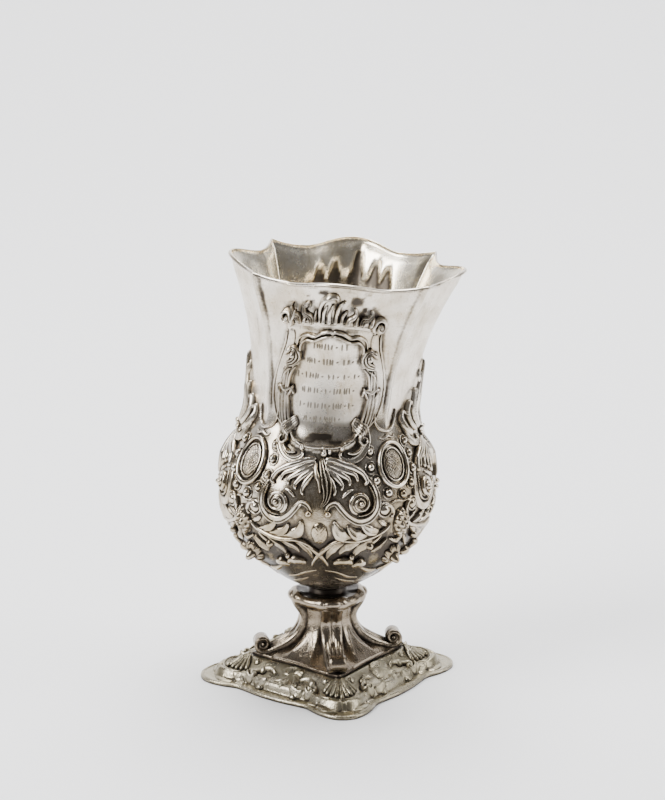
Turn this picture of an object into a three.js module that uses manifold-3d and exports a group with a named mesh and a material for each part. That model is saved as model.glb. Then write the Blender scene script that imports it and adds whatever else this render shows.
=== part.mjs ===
// A silver goblet for the Sabbath blessing: a chased bowl whose flaring mouth has four panels and
// a waved lip, a cast stem with four scroll straps, and a square foot with a serpentine edge.
//
// Millimetres, +Z up. The origin is the centre of the foot's underside, and the foot's corners lie
// on the X and Y axes. The mouth has been bent a little to one side in use, and is built bent.

import * as THREE from 'three';
import { mergeVertices } from 'three/addons/utils/BufferGeometryUtils.js';
import Module from 'manifold-3d';

const wasm = await Module();
wasm.setup();

const { smoothstep, degToRad, radToDeg, lerp } = THREE.MathUtils;

// ---------------------------------------------------------------- driving dimensions

// The bowl. Heights are above the table; angles are in degrees about the upright axis.
const WALL = 0.9; // thickness of the sheet
const BELLY = { radius: 37, height: 68 };
const NECK = { radius: 28.2, height: 100 };
const LIP = { radius: 41.2, height: 149, wave: 1.35 };
const SHOULDER = { top: 101, bottom: 72 }; // where the belly draws in to the neck
const SEAT = { radius: 7, height: 33.2 }; // the flat under the bowl that the stem carries
const PANELS = 4;
const PANEL = 360 / PANELS;
// How far the panels' sides draw in, and how far their ridges stand out again at the lip.
const FOLD = { valley: 28, narrow: 0.7, flare: 3.7, ridge: 1.17 };
const BOWL_TURN = -13; // the bowl was soldered on askew to the foot
const BEND = { start: 80, shift: 6.7, tip: 3.6, heading: -8.2 }; // the mouth's bend to one side

// The stem.
const GAP = 0.3; // solder line between two pieces
const COLLAR = { radius: 6.8, bottom: 29.9 };
const CAPITAL = { radius: 11.6, height: 29.4, roll: 1.9 };
const WAIST = { radius: 8.6, height: 22 };
const SKIRT = { corner: 27, side: 18.4, bottom: 7.7 };
const STRAP = { width: 7.6, thickness: 2.2, volute: 3.6, reach: 23.4, level: 12.15 };

// The foot.
const FOOT = { flange: 1.2, moulding: 4.2, top: 7.4, wall: 1.3 };
// One eighth of its edge, from the middle of a side to a corner:
// [distance out from the centre, distance along the side].
const FOOT_EDGE = [
  [34.1, 0], [33.8, 6.6], [33.1, 11.7], [32.9, 15.6], [34.2, 20.4], [34.8, 25.6], [32.3, 32.3],
];

const SILVER = { metalness: 1, roughness: 0.3 };

// ---------------------------------------------------------------- solids

/** The closed solid that a geometry's triangles bound. */
function solidOf(geometry) {
  const bare = geometry.index ? geometry.toNonIndexed() : geometry.clone();
  bare.deleteAttribute('normal');
  bare.deleteAttribute('uv');
  const merged = mergeVertices(bare, 1e-3);
  const index = merged.index.array;
  const triangles = [];
  for (let i = 0; i < index.length; i += 3) {
    const [a, b, c] = index.slice(i, i + 3);
    if (a !== b && b !== c && c !== a) {
      triangles.push(a, b, c);
    }
  }
  return new wasm.Manifold(new wasm.Mesh({
    numProp: 3,
    vertProperties: new Float32Array(merged.attributes.position.array),
    triVerts: new Uint32Array(triangles),
  }));
}

/** A named mesh of a finished solid. */
function pieceOf(name, solid, color) {
  const { vertProperties, triVerts } = solid.getMesh();
  const geometry = new THREE.BufferGeometry();
  geometry.setAttribute('position', new THREE.BufferAttribute(vertProperties, 3));
  geometry.setIndex(new THREE.BufferAttribute(triVerts, 1));
  const mesh = new THREE.Mesh(geometry, new THREE.MeshStandardMaterial({ color, ...SILVER }));
  mesh.name = name;
  return mesh;
}

/** Joins geometries that may overlap to a solid. */
function join(solid, geometries) {
  return geometries.reduce((whole, geometry) => whole.add(solidOf(geometry)), solid);
}

/** The outer skin of a solid, without the pockets that ornament may close in under itself. */
function filled(solid) {
  return solid.decompose().sort((a, b) => b.volume() - a.volume())[0];
}

/** Moves each vertex of a geometry to where place(x, y, z) puts it. */
function moved(geometry, place) {
  const position = geometry.attributes.position;
  for (let i = 0; i < position.count; i += 1) {
    const target = place(position.getX(i), position.getY(i), position.getZ(i));
    position.setXYZ(i, target.x, target.y, target.z);
  }
  return geometry;
}

/**
 * A body swept round the upright axis and then shaped: profile holds [spread, height] pairs from
 * the lower pole to the upper one, and place(angle, spread, height) gives each point of the body.
 */
function swept(profile, columns, place) {
  const points = profile.map(([spread, height]) => new THREE.Vector2(spread, height));
  return moved(new THREE.LatheGeometry(points, columns), (x, y, z) => (
    place(radToDeg(Math.atan2(x, z)), Math.hypot(x, z), y)
  ));
}

/** A point at an angle about the upright axis. */
function polar(angle, radius, height) {
  const turn = degToRad(angle);
  return new THREE.Vector3(radius * Math.cos(turn), radius * Math.sin(turn), height);
}

/** The same job for each of the four sides. */
function aroundSides(build) {
  return Array.from({ length: PANELS }, (_, side) => build(side)).flat();
}

// ---------------------------------------------------------------- the bowl's surface

/** Radius of the bowl along the middle of a panel. */
function panelRadius(height) {
  if (height < BELLY.height) {
    const depth = (BELLY.height - height) / (BELLY.height - SEAT.height + 1.4);
    return BELLY.radius * (1 - depth ** 1.6) ** 0.6;
  }
  const drawnIn = smoothstep(height, SHOULDER.bottom, SHOULDER.top);
  const flare = Math.max(0, (height - NECK.height) / (LIP.height - NECK.height));
  return lerp(BELLY.radius, NECK.radius, drawnIn) + (LIP.radius - NECK.radius) * flare ** 2.2;
}

/** Angle from the middle of the nearest panel: 0 to 45. */
function foldAngle(angle) {
  const across = THREE.MathUtils.euclideanModulo(angle + PANEL / 2, PANEL) - PANEL / 2;
  return Math.abs(across);
}

/** How far the fold between two panels draws the wall in. */
function foldDepth(angle, height) {
  const m = foldAngle(angle);
  const rise = Math.max(0, (height - NECK.height) / (LIP.height - NECK.height));
  const depth = FOLD.narrow * smoothstep(height, 92, 100) + FOLD.flare * rise ** 2;
  const valley = m < FOLD.valley
    ? (1 - Math.cos(Math.PI * m / FOLD.valley)) / 2
    : 1 - FOLD.ridge * ((m - FOLD.valley) / (PANEL / 2 - FOLD.valley)) ** 1.8;
  return depth * valley;
}

/** Rise and fall of the lip along a panel. */
function lipWave(angle, height) {
  const m = foldAngle(angle);
  const wave = m < 29
    ? LIP.wave * Math.cos(Math.PI * m / 29)
    : -1.2 + 1.7 * ((m - 29) / 16) ** 2.5;
  return wave * smoothstep(height, 130, 150);
}

/** Bends a point of the straight bowl to where it stands now. */
function bent({ x, y, z }) {
  const heading = polar(BEND.heading, 1, 0);
  const amount = Math.max(0, (z - BEND.start) / (LIP.height - BEND.start));
  const across = x * heading.x + y * heading.y;
  return new THREE.Vector3(x, y, z - across * amount * Math.tan(degToRad(BEND.tip)))
    .addScaledVector(heading, BEND.shift * amount ** 1.25);
}

/** A point of the bowl: angle from the front panel's middle, height, and lift off its surface. */
function onBowl(angle, height, lift) {
  const step = 0.5;
  const slope = (panelRadius(height + step) - panelRadius(height - step)) / (2 * step);
  const facing = Math.atan(slope);
  const radius = panelRadius(height) - foldDepth(angle, height) + lift * Math.cos(facing);
  const level = height + lipWave(angle, height) - lift * Math.sin(facing);
  return bent(polar(angle - 90 + BOWL_TURN, radius, level));
}

/** Crowds the columns of a sweep towards the ridges between the panels. */
function towardsRidges(angle) {
  const across = THREE.MathUtils.euclideanModulo(angle + PANEL / 2, PANEL) - PANEL / 2;
  return angle - across + PANEL / 2 * Math.sin(degToRad(across * 2));
}

/** A closed body that follows the bowl's surface at a given lift, from its flat seat up. */
function bowlBody(heights, columns, lift, top) {
  const floor = SEAT.height - lift;
  const profile = [[0, floor], [SEAT.radius + lift, floor]];
  heights.forEach((height) => profile.push([1, height]));
  profile.push([0, top]);
  return swept(profile, columns, (angle, spread, height) => {
    const around = towardsRidges(angle);
    if (spread > 0.5 && spread < 2) {
      return onBowl(around, height, lift);
    }
    return height > SEAT.height + 10
      ? bent(new THREE.Vector3(0, 0, height))
      : polar(around - 90 + BOWL_TURN, spread, height);
  });
}

// ---------------------------------------------------------------- ornament on the bowl
// Ornament is drawn flat, x in degrees from the panel's middle and y in mm of height, and is then
// draped on the bowl with its third coordinate as the lift.

const SINK = -2.2; // ornament starts below the surface, and the hollow is cut after it
const MM_PER_DEGREE = degToRad(BELLY.radius);

/** Lays a flat drawing on one of the four sides. */
function draped(geometry, side) {
  return moved(geometry.clone(), (x, y, z) => onBowl(x + side * PANEL, y, z));
}

/** A flat cut-out of an outline, raised by a lift. */
function raised(points, lift) {
  const shape = new THREE.Shape(points.map(([x, y]) => new THREE.Vector2(x, y)));
  const slab = new THREE.ExtrudeGeometry(shape, { depth: lift - SINK, bevelEnabled: false });
  return slab.translate(0, 0, SINK);
}

/** A sharp ridge along a curve through the points, thinning to its two ends. */
function ridge(points, steps, width, lift) {
  const curve = new THREE.SplineCurve(points.map(([x, y]) => new THREE.Vector2(x * MM_PER_DEGREE, y)));
  const section = new THREE.Shape([
    new THREE.Vector2(-width / 2, SINK),
    new THREE.Vector2(width / 2, SINK),
    new THREE.Vector2(0, lift),
  ]);
  const bar = new THREE.ExtrudeGeometry(section, { depth: 1, steps, bevelEnabled: false });
  return moved(bar, (side, up, along) => {
    const centre = curve.getPoint(along);
    const way = curve.getTangent(along);
    const fullness = 0.45 + 0.55 * Math.sin(Math.PI * along);
    const reach = side * fullness;
    const height = up > 0 ? up * fullness : up;
    return new THREE.Vector3((centre.x - way.y * reach) / MM_PER_DEGREE, centre.y + way.x * reach, height);
  });
}

/** A round or oval swelling: a boss, pearl, cone or lobe, half sunk in the wall. */
function swelling(x, y, halfWidth, halfHeight, lift, around = 4, rings = 2) {
  const ball = new THREE.SphereGeometry(1, around, rings);
  ball.rotateX(Math.PI / 2);
  return ball.scale(halfWidth / MM_PER_DEGREE, halfHeight, lift).translate(x, y, 0);
}

/** An oval medallion: a raised ring about a low dome. */
function medallion(x, y) {
  const profile = [[0, SINK], [6.9, SINK], [5.9, 1.3], [4.9, 0.4], [0, 1.3]];
  const disc = swept(profile, 8, polar);
  return disc.scale(1 / (0.94 * MM_PER_DEGREE), 1.06, 1).translate(x, y, 0);
}

/** The frame about the bare tablet, in lengths short enough to follow the curve, and its flames. */
function cartouche() {
  const strap = [[12, 91.4], [28, 97], [36.4, 101], [39.6, 109], [36.8, 118], [30, 129], [29.6, 137.6],
    [19, 137.4], [18.5, 129.4], [21, 120], [27, 115], [28.4, 108], [25, 99], [12, 93]];
  const arch = [-19.5, -6.5, 6.5].map((x) => [[x, 130], [x + 13, 130], [x + 13, 137.2], [x, 137.2]]);
  const flames = [[19, 140.4], [9, 141], [-3, 144.8], [-14.5, 142.2], [-24, 141.6]];
  const flame = ([x, y]) => [[x - 4.4, 135.5], [x + 4.4, 135.5], [x + 2.6, y - 1.2], [x - 1.4, y]];
  return [
    raised(strap, 1),
    raised(strap.map(([x, y]) => [-x, y]), 1),
    ...arch.map((points) => raised(points, 1)),
    ...flames.map((tip) => raised(flame(tip), 1.8)),
  ];
}

/** The spray of leaves that stands in place of a tablet on the left and right sides. */
function spray() {
  const middle = [[-9, 92], [9, 92], [10, 100], [7, 107], [3, 112.5], [0.5, 117.5],
    [-2.5, 113], [-7, 107], [-10, 100]];
  const leaf = [[9, 91.6], [26, 94.5], [28, 98.5], [20, 101], [15.5, 105], [9.2, 104]];
  return [raised(middle, 1.2), raised(leaf, 1), raised(leaf.map(([x, y]) => [-x, y]), 1)];
}

/** The palmette that hangs below the tablet: two leaf wings and a long tongue. */
function palmette() {
  const wing = [[0, 88.6], [12, 87.2], [20, 85.4], [25.5, 82.6], [24.5, 79.6], [20, 82],
    [15.5, 79.8], [11, 81.6], [8.5, 78.6], [0, 78.6]];
  const tongue = [[1.4, 89], [4.2, 84], [4.8, 79], [1.5, 73.2], [-0.6, 76.5], [0.6, 81], [-2.6, 86]];
  return [raised(wing, 1.1), raised(wing.map(([x, y]) => [-x, y]), 1.1), raised(tongue, 1.8)];
}

/** The branch of acanthus on one half of a side; hand is 1 or -1. */
function acanthus(hand) {
  const leaf = [[41, 66.5], [25, 64.3], [21, 67.3], [18, 63.8], [8.5, 68.6],
    [7.6, 63.6], [2, 56.5], [12, 57.4], [18, 54.4], [21, 59.4], [41, 64.2]];
  return raised(leaf.map(([x, y]) => [x * hand, y]), 1.1);
}

/** Ridges, bosses and pearls on one half of a side; hand is 1 or -1. */
function halfSideTrim(hand) {
  const across = (points) => points.map(([x, y]) => [x * hand, y]);
  return [
    // C-scroll round the belly's volute
    ridge(across([[26, 82.5], [31, 77], [30.5, 71.5], [24, 68.3], [15, 71], [9, 74.6], [4.5, 71.6]]), 6, 3, 1.5),
    swelling(21.5 * hand, 74.2, 3, 3, 1.4, 6),
    // scroll foot of the cartouche
    ridge(across([[20, 99], [27, 96.5], [26.5, 90.5], [18, 88], [11.5, 90.6]]), 4, 3, 1.8),
    // lobes round the lower belly
    swelling(15 * hand, 51.6, 3, 1.7, 1.9),
    swelling(26 * hand, 51, 2.8, 1.9, 2.1),
  ];
}

/** What sits on the ridge between two sides: medallion, pine cone and open bud. */
function cornerTrim() {
  const edge = PANEL / 2;
  return [
    medallion(edge, 85),
    swelling(edge + 1, 65.6, 3.2, 5.6, 2.1, 6, 3),
    swelling(edge + 1, 54, 4.6, 3.4, 3.2, 6, 3),
  ];
}

/** The chased vessel. */
function bowl() {
  const columns = 32;
  const upperHeights = [68, 79, 89, 98, 110, 127, 139, LIP.height];
  const outside = bowlBody([34, 38.5, 45.5, 56, ...upperHeights], columns, 0, LIP.height);
  const inside = bowlBody([36, 45, 56, ...upperHeights, LIP.height + 3], columns, -WALL, LIP.height + 12);
  const lower = [...palmette(), acanthus(1), acanthus(-1),
    ...halfSideTrim(1), ...halfSideTrim(-1), ...cornerTrim()];
  const ornament = aroundSides((index) => {
    const upper = index % 2 === 0 ? cartouche() : spray();
    return [...upper, ...lower].map((geometry) => draped(geometry, index));
  });
  return filled(join(solidOf(outside), ornament).subtract(solidOf(inside)));
}

// ---------------------------------------------------------------- the stem

/** Radius, at an angle, of a square with its corners on the axes and slightly hollow sides. */
function squareRadius(angle, corner, side) {
  const straight = corner / (Math.abs(Math.cos(degToRad(angle))) + Math.abs(Math.sin(degToRad(angle))));
  const towardsSide = Math.sin(degToRad(2 * angle)) ** 2;
  return straight - (corner * Math.SQRT1_2 - side) * towardsSide;
}

/** Collar, rolled capital, waist and flaring four-sided skirt in one body. */
function stemCore() {
  const columns = 24;
  const bottom = SKIRT.bottom;
  const skirt = [bottom, bottom + 0.9, 10, 13, 17].map((height) => [1, height]);
  const roll = Array.from({ length: 4 }, (_, i) => {
    const turn = degToRad(-60 + i * 55);
    return [CAPITAL.radius - 1.2 + CAPITAL.roll * Math.cos(turn), CAPITAL.height + CAPITAL.roll * Math.sin(turn)];
  });
  const collar = [[COLLAR.radius, COLLAR.bottom], [COLLAR.radius, SEAT.height - GAP]];
  const profile = [[0, bottom], ...skirt, [WAIST.radius, WAIST.height], [WAIST.radius + 0.5, 26],
    ...roll, ...collar, [0, SEAT.height - GAP]];
  return swept(profile, columns, (angle, spread, height) => {
    if (spread !== 0 && height < WAIST.height - 1) {
      const flare = ((WAIST.height - height) / (WAIST.height - bottom - 0.9)) ** 2.1;
      const square = squareRadius(angle, SKIRT.corner, SKIRT.side);
      return polar(angle, lerp(WAIST.radius, square, Math.min(1, flare)), height);
    }
    return polar(angle, spread, height);
  });
}

/** Outline of a scroll strap from the side: [reach from the axis, height]. */
function strapOutline() {
  const { reach, level, volute, thickness } = STRAP;
  const turns = 7;
  const spiral = Array.from({ length: turns }, (_, i) => {
    const turn = degToRad(-95 + i * 50);
    const radius = volute * (1 - 0.04 * i);
    return [reach + radius * Math.cos(turn), level + radius * Math.sin(turn)];
  });
  const back = [[19.6, 12.4], [15.6, 14.3], [12.6, 17.4], [10.8, 21.6], [11.4, 27], [14.2, 28.4], [14.2, 30.6]];
  const root = [[WAIST.radius - thickness, 29], [WAIST.radius - thickness, 16], [19, 9]];
  return [...spiral, ...back, ...root];
}

/** The four scroll straps, each towards a corner of the foot. */
function straps() {
  const shape = new THREE.Shape(strapOutline().map(([x, y]) => new THREE.Vector2(x, y)));
  return aroundSides((side) => {
    const strap = new THREE.ExtrudeGeometry(shape, { depth: STRAP.width, bevelEnabled: false });
    strap.translate(0, 0, -STRAP.width / 2).rotateX(Math.PI / 2).rotateZ(side * Math.PI / 2);
    const eye = new THREE.CylinderGeometry(1.3, 1.3, STRAP.width + 1.2, 5);
    eye.translate(STRAP.reach, 0, STRAP.level).rotateZ(side * Math.PI / 2);
    return [strap, eye];
  });
}

/** The casting that carries the bowl. */
function stem() {
  return join(solidOf(stemCore()), straps());
}

// ---------------------------------------------------------------- the foot

/** The foot's edge at a column of its sweep: its eighths, mirrored and turned to all four sides. */
function footEdge(column) {
  const eighth = FOOT_EDGE.length - 1;
  const place = THREE.MathUtils.euclideanModulo(column, 2 * eighth);
  const fromMiddle = place <= eighth ? place : 2 * eighth - place;
  const [out, along] = FOOT_EDGE[fromMiddle];
  const hand = place <= eighth ? 1 : -1;
  const side = Math.floor(column / (2 * eighth)) + (hand > 0 ? 0 : 1);
  return new THREE.Vector2(out, along * hand).rotateAround(new THREE.Vector2(), degToRad(45 + side * PANEL));
}

/**
 * A body in the foot's plan: its profile's spread is 1 at the edge, falls to 0.5 where the skirt
 * stands on it, and is 0 at the centre. From 1 to 0.5 the serpentine edge turns into a square.
 */
function footBody(profile) {
  const half = 0.5;
  const columns = 8 * (FOOT_EDGE.length - 1);
  return swept(profile, columns, (angle, spread, height) => {
    const edge = footEdge(Math.round(angle / 360 * columns + columns) % columns);
    const skirt = squareRadius(radToDeg(edge.angle()), SKIRT.corner + 0.6, SKIRT.side + 0.6);
    const square = edge.clone().setLength(skirt);
    const share = Math.max(0, (spread - half) / half);
    const point = square.multiplyScalar(Math.min(1, spread / half)).lerp(edge, share);
    return new THREE.Vector3(point.x, point.y, height);
  });
}

/** A ribbed scallop shell that opens towards the corner. */
function scallop() {
  const ribs = 4;
  const points = [[27.7, 0]];
  for (let i = 0; i <= 2 * ribs; i += 1) {
    const turn = degToRad(-64 + i * 128 / (2 * ribs));
    const reach = i % 2 === 0 ? 6.8 : 8;
    points.push([28 + reach * Math.cos(turn), reach * 0.86 * Math.sin(turn)]);
  }
  return points;
}

/** A five-lobed vine leaf with its tip towards the edge. */
function vineLeaf() {
  const side = [[0, 3.4], [3.2, 6.4], [4.6, 4.2], [8, 4.4], [8.2, 2]];
  return [[-1, 0], ...side, [11, 0], ...side.map(([x, y]) => [x, -y]).reverse()];
}

/** A relief cut-out that leans out over the plate's slope: heights given at its inner and outer ends. */
function relief(points, inner, outer) {
  const shape = new THREE.Shape(points.map(([x, y]) => new THREE.Vector2(x, y)));
  const slab = new THREE.ExtrudeGeometry(shape, { depth: 1, bevelEnabled: false });
  const [start, end] = [Math.min(...points.map(([x]) => x)), Math.max(...points.map(([x]) => x))];
  return moved(slab, (x, y, z) => {
    const lift = lerp(inner, outer, (x - start) / (end - start));
    return new THREE.Vector3(x, y, z > 0.5 ? lift : lift - 2.4);
  });
}

/** Shells on the corners; leaves, curls and buds along the sides. */
function footTrim(side) {
  const corner = side * Math.PI / 2;
  const middle = corner + Math.PI / 4;
  const shell = relief(scallop(), 8, 5.6).rotateZ(corner);
  const leaf = relief(vineLeaf(), 7.2, 5.6).translate(19.4, 0, 0).rotateZ(middle);
  const curls = [11, -11].map((along) => {
    const curl = new THREE.SphereGeometry(2.6, 4, 2);
    return curl.rotateX(Math.PI / 2).scale(1, 1.3, 0.8).translate(25.5, along, 5).rotateZ(middle);
  });
  return [shell, leaf, ...curls];
}

/** The square foot, hollow beneath. */
function foot() {
  const { flange, moulding, top, wall } = FOOT;
  const plate = footBody([[0, 0], [1, 0], [1, flange], [0.87, flange], [0.8, moulding], [0.5, top], [0, top]]);
  const hollow = footBody([[0, -1], [0.82, -1], [0.82, 0], [0.75, moulding - wall], [0.5, top - wall], [0, top - wall]]);
  return join(solidOf(plate), aroundSides(footTrim)).subtract(solidOf(hollow));
}

// ---------------------------------------------------------------- the goblet

const goblet = new THREE.Group();
goblet.add(
  pieceOf('bowl', bowl(), 0xb9b6ae),
  pieceOf('stem', stem(), 0x8f8a80),
  pieceOf('foot', foot(), 0xa5a296),
);

export default goblet;
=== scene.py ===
"""A silver goblet for the Sabbath blessing, with chased ornament and old tarnish.

Sizes are in millimetres and angles in degrees, and meshes are turned into metres as they are made.
Ornament is a list of marks: strokes, bosses and rings that are drawn on a chart of a surface and
draped on it. A place on the bowl is given in degrees from the middle of a panel, and in height.
"""

from __future__ import annotations

import logging
import math
from dataclasses import dataclass, field, replace
from enum import Enum
from typing import Callable, Sequence

import bmesh
import bpy
import numpy as np
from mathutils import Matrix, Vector

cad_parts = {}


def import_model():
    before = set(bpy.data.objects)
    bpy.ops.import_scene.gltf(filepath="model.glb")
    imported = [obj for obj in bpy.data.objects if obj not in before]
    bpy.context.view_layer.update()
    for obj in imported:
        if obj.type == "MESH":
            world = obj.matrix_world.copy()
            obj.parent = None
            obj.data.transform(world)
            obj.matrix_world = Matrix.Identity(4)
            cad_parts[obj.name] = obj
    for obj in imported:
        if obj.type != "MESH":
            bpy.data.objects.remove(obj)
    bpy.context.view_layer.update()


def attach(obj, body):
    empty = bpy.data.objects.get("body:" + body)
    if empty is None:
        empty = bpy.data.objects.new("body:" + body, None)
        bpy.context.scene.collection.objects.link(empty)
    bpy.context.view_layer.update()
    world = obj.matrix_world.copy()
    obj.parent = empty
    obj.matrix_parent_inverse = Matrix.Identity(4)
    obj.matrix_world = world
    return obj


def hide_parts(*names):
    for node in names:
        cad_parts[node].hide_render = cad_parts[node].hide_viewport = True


LOG = logging.getLogger("goblet")
MM = 0.001
SIDES = 4
QUARTER = 360.0 / SIDES
RIDGE = QUARTER / 2
FRONT = -90.0
# Millimetres to a degree round the belly and round the stem.
BELLY_DEGREE = math.radians(1.0) * 37.0
STEM_DEGREE = math.radians(1.0) * 14.0
# Closed bodies reach this far below the surface that they lie on.
SINK = 0.7
# Vertices closer than this, in metres, are one.
WELD = 2e-6

Array = np.ndarray
Point = tuple[float, float]
Triple = tuple[float, float, float]
Spot = tuple[float, float, float, float, float]
Placed = tuple[Array, Array]
Pattern = Callable[[Array, Array], Array]
Socket = bpy.types.NodeSocket


# ------------------------------------------------------------------ small mathematics


def smoothstep(value: Array, low: float, high: float) -> Array:
    """A smooth ramp from 0 at low to 1 at high."""
    share = np.clip((np.asarray(value, float) - low) / (high - low), 0.0, 1.0)
    return share * share * (3.0 - 2.0 * share)


def spot(x: Array, y: Array, wide: float, tall: float, power: int = 2) -> Array:
    """A soft spot of height 1 in the middle, with its half width and half height."""
    return np.exp(-((x / wide) ** power) - (y / tall) ** power)


def polar(angle: Array, radius: Array, height: Array) -> Array:
    """Points at angles about the upright axis, one row of x, y, z for each."""
    turn = np.radians(angle)
    height = np.broadcast_to(height, np.shape(turn))
    return np.stack([radius * np.cos(turn), radius * np.sin(turn), height], axis=-1)


def chosen(where: Array, points: Array, others: Array) -> Array:
    """Points where a condition holds, and the others elsewhere."""
    return np.where(where[:, None], points, others)


def heading_ways(heading: float) -> tuple[Array, Array]:
    """Unit directions along a level heading and to its left."""
    turn = math.radians(heading)
    return np.array([math.cos(turn), math.sin(turn)]), np.array([-math.sin(turn), math.cos(turn)])


def across_panel(angle: Array) -> Array:
    """Signed angle from the middle of the nearest panel, -45 to 45."""
    return np.mod(np.asarray(angle, float) + RIDGE, QUARTER) - RIDGE


def is_tablet_side(angle: Array) -> Array:
    """Whether an angle lies on the front or back, which carry the tablets."""
    return np.mod(np.floor((np.asarray(angle, float) + RIDGE) / QUARTER), 2) == 0


def smooth_path(points: Sequence[Point], count: int) -> tuple[Array, Array]:
    """A smooth curve through points, cut into equal steps.

    Args:
        points: where the curve passes.
        count: how many places along it are wanted.

    Returns:
        The places, and the unit directions there.
    """
    knots = np.array(points, float)
    chords = np.linalg.norm(np.diff(knots, axis=0), axis=1)
    stations = np.concatenate([[0.0], np.cumsum(chords)])
    slopes = np.gradient(knots, stations, axis=0)
    places = np.linspace(0.0, stations[-1], count)
    index = np.clip(np.searchsorted(stations, places, side="right") - 1, 0, len(chords) - 1)
    gap = chords[index][:, None]
    share = ((places - stations[index]) / chords[index])[:, None]
    square, cube = share**2, share**3
    curve = (
        (2 * cube - 3 * square + 1) * knots[index]
        + (cube - 2 * square + share) * gap * slopes[index]
        + (3 * square - 2 * cube) * knots[index + 1]
        + (cube - square) * gap * slopes[index + 1]
    )
    ways = np.gradient(curve, axis=0)
    ways /= np.maximum(np.linalg.norm(ways, axis=1, keepdims=True), 1e-9)
    return curve, ways


def spiral(
    centre: Point, start: float, radius: float, turns: float, inner: float = 0.28, unit: float = 1.0
) -> list[Point]:
    """Points of a spiral that winds inwards.

    Args:
        centre: its eye on the chart.
        start: angle where its outer end lies.
        radius: outer radius in mm.
        turns: number of turns, negative to wind clockwise.
        inner: inner radius as a share of the outer one.
        unit: mm to one unit of the chart's first direction.

    Returns:
        The points from the outer end to the inner one.
    """
    steps = max(6, int(abs(turns) * 9))
    points = []
    for step in range(steps + 1):
        share = step / steps
        turn = math.radians(start + share * turns * 360.0)
        reach = radius * (1.0 - (1.0 - inner) * share**0.8)
        x = (centre[0] * unit + reach * math.cos(turn)) / unit
        points.append((x, centre[1] + reach * math.sin(turn)))
    return points


# ------------------------------------------------------------------ maps of one side


@dataclass(frozen=True)
class SideMap:
    """Values over one side of the bowl, on a grid of degrees from its middle and heights."""

    values: Array
    low: float = 30.0
    step: float = 0.4
    turn: float = 0.4

    @classmethod
    def blank(cls) -> "SideMap":
        """A map of zeros over a whole side."""
        return cls(np.zeros((int(124.0 / cls.step), int(QUARTER / cls.turn))))

    def at(self, across: Array, height: Array) -> Array:
        """Smoothly read values; the map goes on from side to side."""
        rows, columns = self.values.shape
        x = np.mod((across_panel(across) + RIDGE) / self.turn - 0.5, columns)
        y = np.clip((np.asarray(height, float) - self.low) / self.step - 0.5, 0.0, rows - 1.001)
        left, under = np.floor(x).astype(int) % columns, np.floor(y).astype(int)
        right, share, rise = (left + 1) % columns, x - np.floor(x), y - under
        lower, upper = (
            self.values[row, left] * (1 - share) + self.values[row, right] * share
            for row in (under, under + 1)
        )
        return lower * (1 - rise) + upper * rise

    def filled(self, outline: Sequence[Point], value: float) -> "SideMap":
        """The map with a value added inside an outline.

        Args:
            outline: its corners; one that starts on the panel's middle has a mirror image.
            value: what is added.

        Returns:
            The new map.
        """
        rows, columns = self.values.shape
        across = (np.arange(columns) + 0.5) * self.turn - RIDGE
        across, height = np.meshgrid(across, (np.arange(rows) + 0.5) * self.step + self.low)
        across = np.abs(across) if outline[0][0] == 0.0 else across
        inside = np.zeros(across.shape, bool)
        for (x0, y0), (x1, y1) in zip(outline, [*outline[1:], outline[0]]):
            if y0 != y1:
                crossing = (y0 > height) != (y1 > height)
                inside ^= crossing & (across < (x1 - x0) * (height - y0) / (y1 - y0) + x0)
        return replace(self, values=self.values + inside * value)

    def covered(self, strokes: Sequence["Stroke"]) -> "SideMap":
        """The map with 1 wherever a stroke lies."""
        values = self.values.copy()
        rows, columns = values.shape
        for item in strokes:
            curve, ways = smooth_path([(x * BELLY_DEGREE, y) for x, y in item.path], 60)
            for side in np.linspace(-0.5, 0.5, 9) * item.widths[1]:
                x = (curve[:, 0] - ways[:, 1] * side) / BELLY_DEGREE
                column = ((x + RIDGE) / self.turn).astype(int) % columns
                row = (curve[:, 1] + ways[:, 0] * side - self.low) / self.step
                values[np.clip(row, 0, rows - 1).astype(int), column] = 1.0
        return replace(self, values=values)

    def blurred(self, reach: float) -> "SideMap":
        """The map softened over a reach in mm."""
        rows = np.fft.fftfreq(self.values.shape[0])[:, None] / self.step
        columns = np.fft.fftfreq(self.values.shape[1])[None, :] / (self.turn * 0.6)
        kernel = np.exp(-2.0 * (np.pi * reach) ** 2 * (rows**2 + columns**2))
        return replace(self, values=np.real(np.fft.ifft2(np.fft.fft2(self.values) * kernel)))


SideMaps = tuple[SideMap, SideMap]


def read_sides(maps: SideMaps, angle: Array, height: Array) -> Array:
    """Values of the tablet sides' map and the spray sides' map, each on its own sides."""
    across = across_panel(angle)
    tablet, spray = (item.at(across, height) for item in maps)
    return np.where(is_tablet_side(angle), tablet, spray)


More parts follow.
